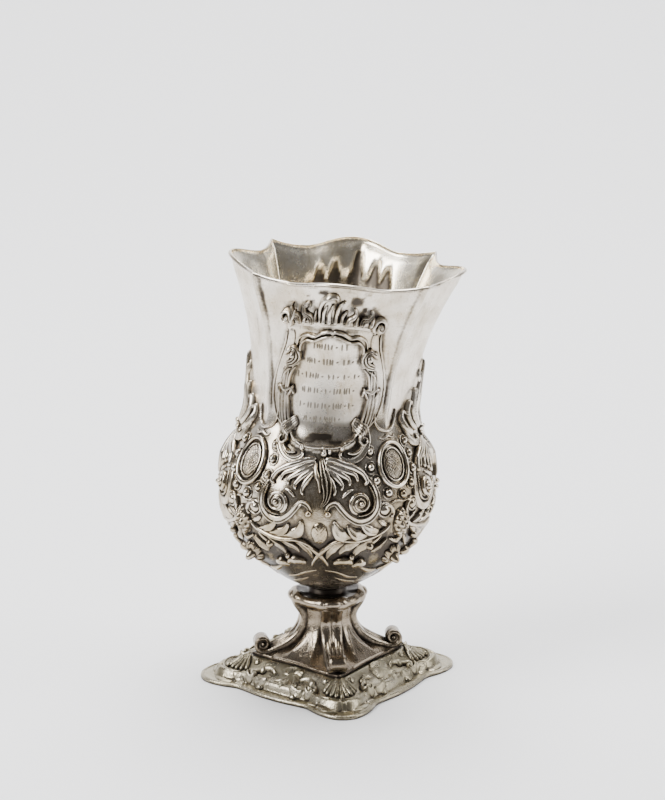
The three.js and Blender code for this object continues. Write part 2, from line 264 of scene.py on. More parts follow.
# Broad swellings: degrees from the panel's middle, height, half width, half height, amount.
EMBOSSING: tuple[Spot, ...] = (
    (0.0, 84.0, 9.0, 4.0, 0.5),
    (22.0, 74.5, 8.0, 5.0, 0.4),
    (45.0, 85.0, 9.0, 7.5, 0.4),
    (45.0, 65.5, 6.5, 6.0, 0.5),
    (45.0, 53.5, 9.0, 4.0, 0.9),
    (22.0, 62.0, 12.0, 2.6, 0.35),
)
FLAME_TIPS: tuple[Point, ...] = (
    (-24.0, 142.0), (-15.0, 142.6), (-3.0, 145.2), (9.5, 141.6), (19.5, 141.0),
)
FRAME_OUTLINE: tuple[Point, ...] = (
    (0, 90.8), (12, 91.2), (20, 93), (28, 96.4), (36, 100.4), (39.4, 106), (39.6, 111), (37, 118),
    (31.6, 127), (30, 133), (29, 136.6), (0, 137.2),
)
TABLET_OUTLINE: tuple[Point, ...] = (
    (0, 92.6), (13, 93.4), (20, 95), (25, 99.5), (27.6, 105), (28.2, 111), (26.4, 116.5),
    (22, 120), (20.2, 124), (18.6, 127.6), (15, 129.2), (9, 129.2), (5, 130.8), (0, 131.6),
)
SPRAY_OUTLINE: tuple[Point, ...] = (
    (0, 91), (26, 93.4), (28.6, 98), (21, 101), (15, 105.4), (9, 107.4), (5, 112), (0, 117.6),
)


def beaten_maps() -> SideMaps:
    """Lift of the tablet's frame and the flames over it, and of the spray of leaves."""
    tablet = SideMap.blank().filled(FRAME_OUTLINE, 1.1).filled(TABLET_OUTLINE, -1.1)
    for x, y in FLAME_TIPS:
        flame = [(x - 4.0, 136), (x - 3.0, y - 3), (x - 1.2, y), (x + 1.8, y - 0.6), (x + 4.2, 136)]
        tablet = tablet.filled(flame, 1.2)
    return tablet.blurred(0.45), SideMap.blank().filled(SPRAY_OUTLINE, 0.8).blurred(0.6)


BEATEN = beaten_maps()


# ------------------------------------------------------------------ the forms


@dataclass(frozen=True)
class Chart:
    """A flat sheet that ornament is drawn on: where its places lie, and mm to a unit across."""

    place: Callable[[Array, Array, Array], Array]
    per_unit: float = 1.0


@dataclass(frozen=True)
class BowlForm:
    """The bowl's bare surface: a pear-shaped belly under four flaring panels, with a bent mouth."""

    belly_radius: float = 37.0
    belly_height: float = 68.0
    neck_radius: float = 28.2
    neck_height: float = 100.0
    lip_radius: float = 41.2
    lip_height: float = 149.0
    lip_wave: float = 1.35
    wave_half: float = 29.0
    shoulder_low: float = 72.0
    shoulder_high: float = 101.0
    seat_radius: float = 7.0
    seat_height: float = 33.2
    wall: float = 0.9
    fold_valley: float = 28.0
    fold_narrow: float = 1.2
    fold_flare: float = 3.7
    fold_ridge: float = 1.17
    rib_height: float = 0.5
    rib_half: float = 1.6
    turn: float = -13.0
    bend_start: float = 80.0
    bend_shift: float = 6.7
    bend_power: float = 1.25
    bend_tip: float = 3.6
    bend_heading: float = -8.2

    def rise(self, height: Array) -> Array:
        """Share of the way from the neck to the lip, 0 below the neck."""
        share = (height - self.neck_height) / (self.lip_height - self.neck_height)
        return np.clip(share, 0.0, None)

    def panel_radius(self, height: Array) -> Array:
        """Radius along the middle of a panel at each height."""
        height = np.asarray(height, float)
        depth = (self.belly_height - height) / (self.belly_height - self.seat_height + 1.4)
        below = self.belly_radius * (1.0 - np.clip(depth, 0.0, 1.0) ** 1.6) ** 0.6
        drawn = smoothstep(height, self.shoulder_low, self.shoulder_high)
        flare = (self.lip_radius - self.neck_radius) * self.rise(height) ** 2.2
        above = self.belly_radius + (self.neck_radius - self.belly_radius) * drawn + flare
        return np.where(height < self.belly_height, below, above)

    def fold(self, angle: Array, height: Array) -> Array:
        """How far the folds between the panels draw the wall in, less the rib on each ridge."""
        m = np.abs(across_panel(angle))
        depth = self.fold_narrow * smoothstep(height, 92.0, 100.0)
        depth = depth + self.fold_flare * self.rise(height) ** 2
        inner = (1.0 - np.cos(np.pi * m / self.fold_valley)) / 2.0
        share = np.clip((m - self.fold_valley) / (RIDGE - self.fold_valley), 0.0, 1.0)
        outer = 1.0 - self.fold_ridge * share**1.8
        rib = self.rib_height * np.exp(-(((RIDGE - m) / self.rib_half) ** 2))
        rib = rib * smoothstep(height, 97.0, 106.0)
        rib = rib * smoothstep(height, 150.0, 144.0)
        return depth * np.where(m < self.fold_valley, inner, outer) - rib

    def wave(self, angle: Array, height: Array) -> Array:
        """Rise and fall of the lip along a panel."""
        m = np.abs(across_panel(angle))
        crest = self.lip_wave * np.cos(np.pi * m / self.wave_half)
        side = -1.2 + 1.7 * (np.clip(m - self.wave_half, 0.0, None) / 16.0) ** 2.5
        return np.where(m < self.wave_half, crest, side) * smoothstep(height, 130.0, 150.0)

    def emboss(self, angle: Array, height: Array) -> Array:
        """Broad swellings beaten up from inside, under the ornament."""
        across = across_panel(angle)
        lift = np.zeros(np.broadcast(across, height).shape)
        for x, y, wide, tall, amount in EMBOSSING:
            for hand in (1.0, -1.0) if x else (1.0,):
                gap = across - x * hand
                gap = np.minimum(np.abs(gap), np.abs(QUARTER - np.abs(gap)))
                lift = lift + amount * spot(gap, height - y, wide, tall)
        return lift + read_sides(BEATEN, angle, height)

    def heading(self, angle: Array) -> Array:
        """Heading about the upright axis of an angle from the front panel's middle."""
        return angle + FRONT + self.turn

    def bend_share(self, height: Array) -> Array:
        """How much of the bend has come at each height, 1 at the lip."""
        return np.clip((height - self.bend_start) / (self.lip_height - self.bend_start), 0.0, None)

    def bend(self, points: Array) -> Array:
        """Bends points of the straight bowl to where they stand."""
        way = np.array([*heading_ways(self.bend_heading)[0], 0.0])
        amount = self.bend_share(points[..., 2])
        tipped = points.copy()
        tipped[..., 2] -= (points @ way) * amount * math.tan(math.radians(self.bend_tip))
        return tipped + (self.bend_shift * amount**self.bend_power)[..., None] * way

    def place(self, angle: Array, height: Array, lift: Array) -> Array:
        """Points of the bowl at a lift off its surface.

        Args:
            angle: degrees from the middle of the front panel.
            height: mm above the table.
            lift: mm out from the beaten surface.

        Returns:
            The points in mm.
        """
        angle, height = np.asarray(angle, float), np.asarray(height, float)
        facing = np.arctan(self.panel_radius(height + 0.5) - self.panel_radius(height - 0.5))
        out = lift + self.emboss(angle, height)
        radius = self.panel_radius(height) - self.fold(angle, height) + out * np.cos(facing)
        level = height + self.wave(angle, height) - out * np.sin(facing)
        return self.bend(polar(self.heading(angle), radius, level))

    def chart(self, side: int) -> Chart:
        """One side of the bowl: degrees from the panel's middle, and height."""
        return Chart(lambda u, v, lift: self.place(u + side * QUARTER, v, lift), BELLY_DEGREE)


@dataclass(frozen=True)
class StemForm:
    """The casting under the bowl: collar, rolled capital, waist and four-sided skirt."""

    bottom: float = 7.7
    waist_radius: float = 8.6
    waist_height: float = 22.0
    waist_top: float = 26.0
    skirt_corner: float = 27.0
    skirt_side: float = 18.4
    capital_reach: float = 10.9
    capital_height: float = 29.1
    collar_radius: float = 6.8
    top: float = 32.9

    def square(self, angle: Array, grow: float = 0.0) -> Array:
        """Radius of the skirt's square: corners on the axes, sides a little hollow."""
        turn = np.radians(angle)
        corner, side = self.skirt_corner + grow, self.skirt_side + grow
        straight = corner / (np.abs(np.cos(turn)) + np.abs(np.sin(turn)))
        return straight - (corner * math.sqrt(0.5) - side) * np.sin(2 * turn) ** 2

    def radius(self, angle: Array, height: Array) -> Array:
        """Radius of the waist and skirt at each height; the skirt is steeper under the straps."""
        drop = (self.waist_height - height) / (self.waist_height - self.bottom - 0.9)
        belly = 0.5 * np.clip((height - self.waist_height) / 4.0, 0.0, 1.0)
        power = 2.1 + 1.7 * smoothstep(np.abs(across_panel(angle)), 30.0, 16.0)
        reach = (self.square(angle) - self.waist_radius) * np.clip(drop, 0.0, 1.0) ** power
        return self.waist_radius + belly + reach

    def place(self, angle: Array, height: Array, lift: Array) -> Array:
        """Points on the waist and skirt, lifted outwards."""
        return polar(angle, self.radius(angle, height) + lift, height)

    def chart(self, heading: float) -> Chart:
        """The stem unrolled from one heading: degrees, and height."""
        return Chart(lambda u, v, lift: self.place(u + heading, v, lift), STEM_DEGREE)


# Degrees from a side's middle and the reach of the foot's edge there.
FOOT_EDGE: tuple[Point, ...] = (
    (0.0, 34.1), (11.0, 34.45), (19.5, 35.1), (25.4, 36.4), (30.8, 39.9), (36.3, 43.2),
    (41.0, 45.1), (45.0, 45.6),
)
# Shares of the way out over the foot, and heights: field, torus, flange and rim.
FOOT_PROFILE: tuple[Point, ...] = (
    (0.0, 7.4), (0.45, 3.7), (0.5, 3.5), (0.54, 3.9), (0.58, 4.25), (0.62, 4.3), (0.66, 4.0),
    (0.69, 3.3), (0.715, 2.2), (0.735, 1.3), (0.93, 1.15), (0.95, 1.45), (0.965, 1.2),
    (0.985, 1.3), (1.0, 0.8),
)


@dataclass(frozen=True)
class FootForm:
    """The square foot with its serpentine edge, corner lobes and mouldings."""

    moulding: float = 4.2
    top: float = 7.4
    stem: StemForm = field(default_factory=StemForm)

    def edge(self, angle: Array) -> Array:
        """Radius of the foot's edge; the corners are on the axes."""
        curve, _ways = smooth_path(FOOT_EDGE, 160)
        return np.interp(RIDGE - np.abs(across_panel(angle)), curve[:, 0], curve[:, 1])

    def span(self, angle: Array) -> tuple[Array, Array]:
        """Radius of the skirt's edge, and the way from there to the foot's edge."""
        inner = self.stem.square(angle, 0.6)
        return inner, self.edge(angle) - inner

    def share(self, angle: Array, radius: Array) -> Array:
        """How far out a point lies: 0 at the skirt's edge, 1 at the foot's edge."""
        inner, way = self.span(angle)
        return (radius - inner) / way

    def height(self, angle: Array, radius: Array) -> Array:
        """Height of the foot's upper face."""
        share = np.clip(self.share(angle, radius), 0.0, 1.0)
        fall = smoothstep(share, 0.0, 0.47) ** 0.8
        sloping = self.top - (self.top - self.moulding + 0.5) * fall
        return np.where(share < 0.45, sloping, np.interp(share, *zip(*FOOT_PROFILE)))

    def chart(self, heading: float) -> Chart:
        """The foot seen along a heading: mm out from the axis, and mm to the left."""
        way, left = heading_ways(heading)

        def place(u: Array, v: Array, lift: Array) -> Array:
            """Points over the foot's upper face."""
            x, y = u * way[0] + v * left[0], u * way[1] + v * left[1]
            level = self.height(np.degrees(np.arctan2(y, x)), np.hypot(x, y))
            return np.stack([x, y, level + lift], axis=-1)

        return Chart(place)


# ------------------------------------------------------------------ meshes and marks


class ReliefMesh:
    """Collects closed bodies in one mesh, with tarnish and painted shade from 0 on crests to 1 in
    hollows.
    """

    def __init__(self) -> None:
        """Starts an empty mesh."""
        self.bm = bmesh.new()
        # Tarnish with painted shade: darkest in hollows and at the roots of the relief.
        self.bm.verts.layers.float.new("tarnish")
        self.carrier = bpy.data.meshes.new("carrier")

    def _gather(self, part: bmesh.types.BMesh, place: Callable[..., Placed]) -> None:
        """Moves a small body's vertices to where place puts them, closes its seams and keeps it."""
        layer = part.verts.layers.float.new("tarnish")
        points, tarnish = place(*np.array([vert.co[:] for vert in part.verts]).T)
        for vert, point, value in zip(part.verts, (points * MM).tolist(), tarnish.tolist()):
            vert.co = point
            vert[layer] = value
        bmesh.ops.remove_doubles(part, verts=part.verts[:], dist=WELD)
        part.to_mesh(self.carrier)
        part.free()
        self.bm.from_mesh(self.carrier)

    def grid(self, columns: int, rows: int, place: Callable[[Array, Array], Placed]) -> None:
        """A grid that place wraps to a closed body.

        Args:
            columns: faces along the first direction.
            rows: faces along the second direction.
            place: gives points in mm, and tarnish with painted shade, for the two grid numbers of
                each corner.
        """
        part = bmesh.new()
        bmesh.ops.create_grid(part, x_segments=columns, y_segments=rows, size=0.5)

        def numbered(x: Array, y: Array, _flat: Array) -> Placed:
            """Turns places on the grid into whole grid numbers."""
            column, row = np.rint((x + 0.5) * columns), np.rint((y + 0.5) * rows)
            return place(column.astype(int), row.astype(int))

        self._gather(part, numbered)

    def lathe(self, columns: int, rows: int, place: Callable[[Array, Array], Placed]) -> None:
        """A body about the upright axis, made from angles and row numbers."""
        self.grid(columns, rows, lambda turn, row: place(turn % columns * 360.0 / columns, row))

    def ball(self, fineness: int, place: Callable[[Array, Array, Array], Placed]) -> None:
        """A ball of radius 1 that place turns into a closed body."""
        part = bmesh.new()
        upright = max(6, fineness // 2)
        bmesh.ops.create_uvsphere(part, u_segments=fineness, v_segments=upright, radius=1.0)
        self._gather(part, place)

    def drape(self, chart: Chart, marks: Sequence["Mark"]) -> None:
        """Adds marks, draped on a chart."""
        for mark in marks:
            mark.drape(self, chart)

    def finish(
        self, name: str, slot: str, finishes: Sequence["SilverFinish"], nodes: Sequence[str] = ()
    ) -> bpy.types.Object:
        """Turns the collected bodies into a piece.

        Args:
            name: the piece's name.
            slot: the material slot of the record that it follows; not used.
            finishes: its finishes, the first for all faces.
            nodes: the CAD nodes that it stands for.

        Returns:
            The piece.
        """
        bmesh.ops.recalc_face_normals(self.bm, faces=self.bm.faces[:])
        mesh = bpy.data.meshes.new(name)
        self.bm.to_mesh(mesh)
        self.bm.free()
        bpy.data.meshes.remove(self.carrier)
        mesh.shade_smooth()
        piece = bpy.data.objects.new(name, mesh)
        bpy.context.scene.collection.objects.link(piece)
        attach(piece, "root")
        if nodes:
            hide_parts(*nodes)
        for finish in finishes:
            mesh.materials.append(finish.material())
        LOG.info("%s: %d triangles", name, sum(len(face.vertices) - 2 for face in mesh.polygons))
        return piece


class Section(Enum):
    """The cross-section of a stroke."""

    ROUND = "round"
    COVE = "cove"
    REEDS = "reeds"
    FINE_REEDS = "fine reeds"
    LEAF = "leaf"

    def profile(self, across: Array) -> Array:
        """Height, 0 to 1, at places from -1 to 1 across the stroke."""
        edge = np.sqrt(np.clip(1.0 - np.abs(across) ** 5, 0.0, 1.0))
        if self is Section.ROUND:
            return np.clip(1.0 - np.abs(across) ** 2.3, 0.0, 1.0) ** 0.6
        if self is Section.COVE:
            return edge * (0.5 + 0.5 * np.abs(across) ** 2.2)
        if self is Section.REEDS:
            return edge * (0.74 + 0.26 * np.cos(3.0 * np.pi * across))
        if self is Section.FINE_REEDS:
            return edge * (0.78 + 0.22 * np.cos(5.0 * np.pi * across))
        vein = 0.12 * np.exp(-((across / 0.18) ** 2))
        return edge * (0.35 + 0.65 * (across + 1.0) / 2.0) - vein

    @property
    def samples(self) -> int:
        """How many places across the stroke its profile needs."""
        return 17 if self in (Section.REEDS, Section.FINE_REEDS) else 9


def tapered(size: float | Triple, start: float, end: float) -> Triple:
    """A size at the start, middle and end; a single size is tapered by the two shares."""
    return size if isinstance(size, tuple) else (start * size, size, end * size)


@dataclass(frozen=True)
class Stroke:
    """A raised stroke along a path, with one width and lift or those at start, middle and end."""

    path: Sequence[Point]
    width: float | Triple
    lift: float | Triple
    section: Section = Section.ROUND
    row_gap: float = 0.6
    tuck: float = 0.12

    @property
    def widths(self) -> Triple:
        """Full widths at the start, middle and end."""
        return tapered(self.width, 0.55, 0.45)

    def mirrored(self) -> "Stroke":
        """The same stroke on the other half of the side."""
        return replace(self, path=[(-x, y) for x, y in self.path])

    def drape(self, mesh: ReliefMesh, chart: Chart) -> None:
        """Adds the stroke to a mesh, sunk a little into the surface."""
        metric = [(x * chart.per_unit, y) for x, y in self.path]
        reach = sum(math.dist(a, b) for a, b in zip(metric, metric[1:]))
        steps = int(np.clip(reach / self.row_gap, 4, 60))
        curve, ways = smooth_path(metric, steps + 1)
        top = self.section.samples
        loop = top + 2
        loop_u = np.concatenate([np.linspace(-1.0, 1.0, top), [0.9, -0.9]])
        loop_h = np.concatenate([self.section.profile(loop_u[:top]), [0.0, 0.0]])

        def place(row: Array, column: Array) -> Placed:
            """Wraps the grid round the stroke's section."""
            column = column % loop
            share = row / steps
            stations = [0.0, 0.5, 1.0]
            rounding = np.sqrt(np.clip(1.0 - np.abs(2.0 * share - 1.0) ** 12, 0.0, 1.0))
            width = np.interp(share, stations, self.widths) * rounding / 2.0
            lift = np.interp(share, stations, tapered(self.lift, 0.75, 0.6)) * rounding**0.7
            side = loop_u[column] * width
            u = (curve[row, 0] - ways[row, 1] * side) / chart.per_unit
            v = curve[row, 1] + ways[row, 0] * side
            height = np.where(column >= top, -SINK, loop_h[column] * lift - self.tuck)
            height = np.where(rounding < 1e-6, -SINK / 2.0, height)
            # Tarnish and painted shade: none on the stroke's crest, darkest along its edges and
            # ends at the ground.
            return chart.place(u, v, height), 0.7 * (1.0 - loop_h[column] * rounding) ** 1.6

        mesh.grid(steps, loop, place)


@dataclass(frozen=True)
class Centred:
    """A mark about a centre on the chart."""

    centre: Point

    def mirrored(self) -> "Centred":
        """The same mark on the other half of the side."""
        return replace(self, centre=(-self.centre[0], self.centre[1]))


@dataclass(frozen=True)
class Boss(Centred):
    """A round or oval boss: half its width and height, its lift, and extra lift by a pattern."""

    half: Triple
    pattern: Pattern | None = None
    fineness: int = 12
    base: float = 0.0

    def drape(self, mesh: ReliefMesh, chart: Chart) -> None:
        """Adds the boss to a mesh."""
        wide, tall, high = self.half

        def place(x: Array, y: Array, z: Array) -> Placed:
            """Flattens the ball on the surface."""
            extra = 0.0 * z
            if self.pattern:
                extra = self.pattern(x * wide, y * tall) * np.clip(z * 3.0, 0.0, 1.0)
            lift = self.base + z * np.where(z > 0.0, high, SINK) + extra
            u, v = self.centre[0] + x * wide / chart.per_unit, self.centre[1] + y * tall
            # Tarnish and painted shade: darker low on the boss, where it meets the ground, and in
            # its pattern's valleys.
            dark = 0.6 * np.clip(1.0 - 1.9 * z, 0.0, 1.0) - 1.0 * np.minimum(extra, 0.0)
            return chart.place(u, v, lift), dark

        mesh.ball(self.fineness, place)


@dataclass(frozen=True)
class Ring(Centred):
    """An oval ring of round section."""

    half: Point
    width: float
    lift: float
    fineness: int = 40
    section: int = 8

    def drape(self, mesh: ReliefMesh, chart: Chart) -> None:
        """Adds the ring to a mesh."""

        def place(around: Array, across: Array) -> Placed:
            """Wraps the grid to a ring."""
            turn = around % self.fineness / self.fineness * 2.0 * np.pi
            tube = across % self.section / self.section * 2.0 * np.pi
            out, rise = np.cos(tube) * self.width / 2.0, np.sin(tube)
            u = self.centre[0] + (self.half[0] + out) * np.cos(turn) / chart.per_unit
            v = self.centre[1] + (self.half[1] + out) * np.sin(turn)
            lift = np.where(rise > 0.0, rise * self.lift, rise * 0.6)
            # Tarnish and painted shade on the lower side of the ring's tube.
            return chart.place(u, v, lift), 0.55 * np.clip(1.0 - rise, 0.0, 1.0) ** 1.6

        mesh.grid(self.fineness, self.section, place)


Mark = Stroke | Boss | Ring


def both(*marks: Mark) -> list[Mark]:
    """Marks and their mirror images."""
    return [*marks, *(mark.mirrored() for mark in marks)]


# ------------------------------------------------------------------ finishes


class NodeMaker:
    """Adds nodes to a tree and links them in one call."""

    def __init__(self, tree: bpy.types.NodeTree) -> None:
        """Keeps the tree that nodes go into."""
        self.tree = tree

    def feed(self, node: bpy.types.Node, inputs: dict[str | int, object]) -> bpy.types.Node:
        """Sets a node's inputs; a value that is a socket is linked.

        Args:
            node: the node.
            inputs: values or sockets by the input's name or number.

        Returns:
            The same node.
        """
        for key, value in inputs.items():
            if isinstance(value, Socket):
                self.tree.links.new(value, node.inputs[key])
            else:
                node.inputs[key].default_value = value
        return node

    def add(
        self, kind: str, inputs: dict[str | int, object] | None = None, **settings: object
    ) -> bpy.types.Node:
        """A new node.

        Args:
            kind: the node's type.
            inputs: values or sockets by the input's name or number.
            **settings: the node's own properties.

        Returns:
            The node.
        """
        node = self.tree.nodes.new(kind)
        for key, value in settings.items():
            setattr(node, key, value)
        return self.feed(node, inputs or {})

    def maths(self, operation: str, *values: object) -> Socket:
        """The result of a Math node."""
        return self.add("ShaderNodeMath", dict(enumerate(values)), operation=operation).outputs[0]

    def plus(self, total: object, value: object, factor: object) -> Socket:
        """A total with a share of a value added."""
        return self.maths("MULTIPLY_ADD", value, factor, total)

    def noise(self, where: Socket, scale: float, detail: float, rough: float = 0.55) -> Socket:
        """The value of a noise texture."""
        inputs = {"Vector": where, "Scale": scale, "Detail": detail, "Roughness": rough}
        return self.add("ShaderNodeTexNoise", inputs).outputs[0]

    def stretched_noise(self, where: Socket, scale: Triple, detail: float) -> Socket:
        """A noise whose scale differs along the three axes."""
        place = self.add("ShaderNodeMapping", {"Vector": where, "Scale": scale})
        return self.noise(place.outputs[0], 1.0, detail)

    def ramp(self, value: Socket, low: float, high: float) -> Socket:
        """A smooth ramp from 0 at low to 1 at high."""
        inputs = {"Value": value, "From Min": low, "From Max": high}
        return self.add("ShaderNodeMapRange", inputs, interpolation_type="SMOOTHSTEP").outputs[0]

    def mix(self, share: object, first: object, second: object) -> Socket:
        """A mix of two colours."""
        inputs = {0: share, 6: first, 7: second}
        return self.add("ShaderNodeMix", inputs, data_type="RGBA").outputs[2]


# Openness is the AO node's value and Tarnish laid the mesh's value; both bring painted shade as
# well as tarnish.
GROUP_SOCKETS: tuple[tuple[str, str, tuple[str, ...]], ...] = (
    ("INPUT", "NodeSocketColor", ("Clean", "Stain", "Tarnish")),
    (
        "INPUT", "NodeSocketFloat",
        ("Amount", "Roughness", "Grain", "Stipple", "Openness", "Tarnish laid"),
    ),
    ("OUTPUT", "NodeSocketColor", ("Color",)),
    ("OUTPUT", "NodeSocketFloat", ("Roughness", "Metal", "Height")),
)


def aged_silver_group() -> bpy.types.NodeTree:
    """The shared node group that turns openness and relief into aged silver with painted shade,
    built once.

    Returns:
        The group, with outputs Color, Roughness, Metal and Height.
    """
    name = "aged_silver"
    if name in bpy.data.node_groups:
        return bpy.data.node_groups[name]
    group = bpy.data.node_groups.new(name, "ShaderNodeTree")
    for way, kind, names in GROUP_SOCKETS:
        for socket in names:
            group.interface.new_socket(socket, in_out=way, socket_type=kind)
    make = NodeMaker(group)
    given = make.add("NodeGroupInput").outputs
    where = make.add("ShaderNodeTexCoord").outputs["Object"]
    height = make.add("ShaderNodeSeparateXYZ", {0: where}).outputs["Z"]

    cloud = make.noise(where, 90.0, 4.0)
    blotch = make.noise(where, 260.0, 5.0, 0.65)
    grit = make.noise(where, 1050.0, 4.0, 0.65)
    fine = make.noise(where, 2400.0, 3.0, 0.6)
    scratch = make.stretched_noise(where, (900.0, 900.0, 5200.0), 2.0)
    streak = make.stretched_noise(where, (520.0, 520.0, 40.0), 3.0)
    uneven = make.maths("SUBTRACT", blotch, 0.5)

    # Tarnish with painted shade: in AO hollows and where laid; darker under the belly, less above
    # the neck.
    closed = make.maths("SUBTRACT", 1.0, given["Openness"])
    laid = make.plus(make.maths("MULTIPLY", closed, 1.05), given["Tarnish laid"], 0.58)
    ragged = make.plus(laid, uneven, 0.8)
    ragged = make.plus(ragged, make.maths("SUBTRACT", grit, 0.5), 0.5)
    under = make.maths("MULTIPLY", make.ramp(height, 0.07, 0.056), make.ramp(height, 0.031, 0.035))
    ragged = make.plus(ragged, under, 0.26)
    ragged = make.plus(ragged, make.ramp(height, 0.098, 0.104), -0.1)
    dark = make.maths("MULTIPLY", make.ramp(ragged, 0.18, 0.9), given["Amount"])

    # A warm stain laid over the metal: clouds, grit, streaks, painted shade growing lower down, and
    # more where it is dark.
    veil_and_shade = make.maths("MULTIPLY", make.ramp(cloud, 0.38, 0.68), 0.6)
    veil_and_shade = make.plus(veil_and_shade, make.ramp(grit, 0.54, 0.7), 0.35)
    veil_and_shade = make.plus(veil_and_shade, make.ramp(height, 0.098, 0.052), 0.6)
    veil_and_shade = make.plus(veil_and_shade, make.ramp(streak, 0.52, 0.72), 0.3)
    veil_and_shade = make.plus(veil_and_shade, dark, 0.8)
    tinted = make.mix(make.maths("MINIMUM", veil_and_shade, 1.0), given["Clean"], given["Stain"])
    color = make.mix(make.maths("MINIMUM", dark, 0.97), tinted, given["Tarnish"])

    rough = make.plus(given["Roughness"], uneven, 0.22)
    rough = make.plus(rough, dark, 0.12)
    rough = make.plus(rough, make.ramp(height, 0.088, 0.102), 0.12)
    metal = make.maths("SUBTRACT", 1.0, make.maths("MULTIPLY", dark, 0.25))
    pits = make.add("ShaderNodeTexVoronoi", {"Vector": where, "Scale": 1500.0}).outputs["Distance"]
    grain = make.maths("MULTIPLY", make.maths("ADD", fine, scratch), given["Grain"])
    bumps = make.plus(grain, pits, given["Stipple"])
    results = {"Color": color, "Roughness": rough, "Metal": metal, "Height": bumps}
    make.feed(make.add("NodeGroupOutput"), results)
    return group


@dataclass(frozen=True)
class SilverFinish:
    """Old silver: clean metal on the crests, tarnish and painted shade in the hollows, and faint
    staining.
    """

    name: str
    clean: Triple = (0.8, 0.735, 0.64)
    stain: Triple = (0.42, 0.34, 0.225)
    tarnish: Triple = (0.04, 0.032, 0.025)
    tarnish_amount: float = 1.0
    roughness: float = 0.17
    grain: float = 0.25
    stipple: float = 0.0
    hollow_reach: float = 3.0
    bump_depth: float = 0.12

    def material(self) -> bpy.types.Material:
        """The finish's material, built once."""
        if self.name in bpy.data.materials:
            return bpy.data.materials[self.name]
        material = bpy.data.materials.new(self.name)
        material.use_nodes = True
        make = NodeMaker(material.node_tree)
        # The AO openness and the laid 'tarnish' attribute darken the hollows with painted shade as
        # well as tarnish.
        reach = {"Distance": self.hollow_reach * MM}
        laid = make.add("ShaderNodeAttribute", attribute_name="tarnish")
        aged = make.add("ShaderNodeGroup", node_tree=aged_silver_group())
        made = aged.outputs
        make.feed(aged, {
            "Clean": (*self.clean, 1.0),
            "Stain": (*self.stain, 1.0),
            "Tarnish": (*self.tarnish, 1.0),
            "Amount": self.tarnish_amount,
            "Roughness": self.roughness,
            "Grain": self.grain,
            "Stipple": self.stipple,
            "Openness": make.add("ShaderNodeAmbientOcclusion", reach, samples=8).outputs["AO"],
            "Tarnish laid": laid.outputs["Fac"],
        })
        depth = {"Distance": self.bump_depth * MM, "Strength": 0.6, "Height": made["Height"]}
        make.feed(material.node_tree.nodes["Principled BSDF"], {
            "Base Color": made["Color"],
            "Roughness": made["Roughness"],
            "Metallic": made["Metal"],
            "Normal": make.add("ShaderNodeBump", depth).outputs["Normal"],
        })
        return material


# ------------------------------------------------------------------ the bowl's ornament


def hammered(x: Array, y: Array) -> Array:
    """Small dents of a rough surface."""
    return 0.22 * np.sin(x * 5.1 + 0.6 * np.sin(y * 3.0)) * np.sin(y * 4.7)


def crosshatched(x: Array, y: Array) -> Array:
    """Crossing lines on a medallion's dome."""
    pitch = 2.0 * np.pi / 1.4
    return -0.36 * (np.cos((x + y) * pitch * 0.71) ** 4 + np.cos((x - y) * pitch * 0.71) ** 4)


def scaled(x: Array, y: Array) -> Array:
    """The scales of a pine cone."""
    rows = np.sin(np.pi * (x / 2.2 + y / 3.0)) * np.sin(np.pi * (x / 2.2 - y / 3.0))
    return 0.9 * np.abs(rows) - 0.7


@dataclass(frozen=True)
class Ornament:
    """One kind of ornament on some sides of the bowl; even sides are the tablet sides."""

    name: str
    marks: Sequence[Mark]
    sides: Sequence[int] = tuple(range(SIDES))


COVE, REEDS, LEAF = Section.COVE, Section.REEDS, Section.LEAF
VOLUTE = (22, 74.3)
BUD = (RIDGE + 1.0, 53.6)
PEARLS: tuple[Point, ...] = (
    (30.5, 90.2), (30.0, 85.2), (32.4, 80.8), (38.6, 76.4), (48.0, 75.0), (55.4, 77.8),
    (59.6, 82.0), (60.2, 87.0), (59.0, 91.4),
)


def bud_petals() -> list[Mark]:
    """Eight hollow petals round the open bud on a ridge."""
    petals = []
    for index in range(8):
        turn = math.radians(22.5 + index * 45.0)
        out = (math.cos(turn) * 1.25, math.sin(turn) * 0.8)
        path = [(BUD[0] + reach * out[0], BUD[1] + reach * out[1]) for reach in (1.4, 3.6, 5.4)]
        petals.append(Stroke(path, (1.6, 2.8, 1.0), (2.6, 2.9, 1.0), COVE))
    return petals


def pearl_marks() -> list[Mark]:
    """The pearls round a medallion, each in a fine ring."""
    pearls = [Boss(centre, (1.45, 1.45, 1.9), base=0.1) for centre in PEARLS]
    return [*pearls, *(Ring(centre, (2.0, 2.0), 0.5, 0.5, 20) for centre in PEARLS)]


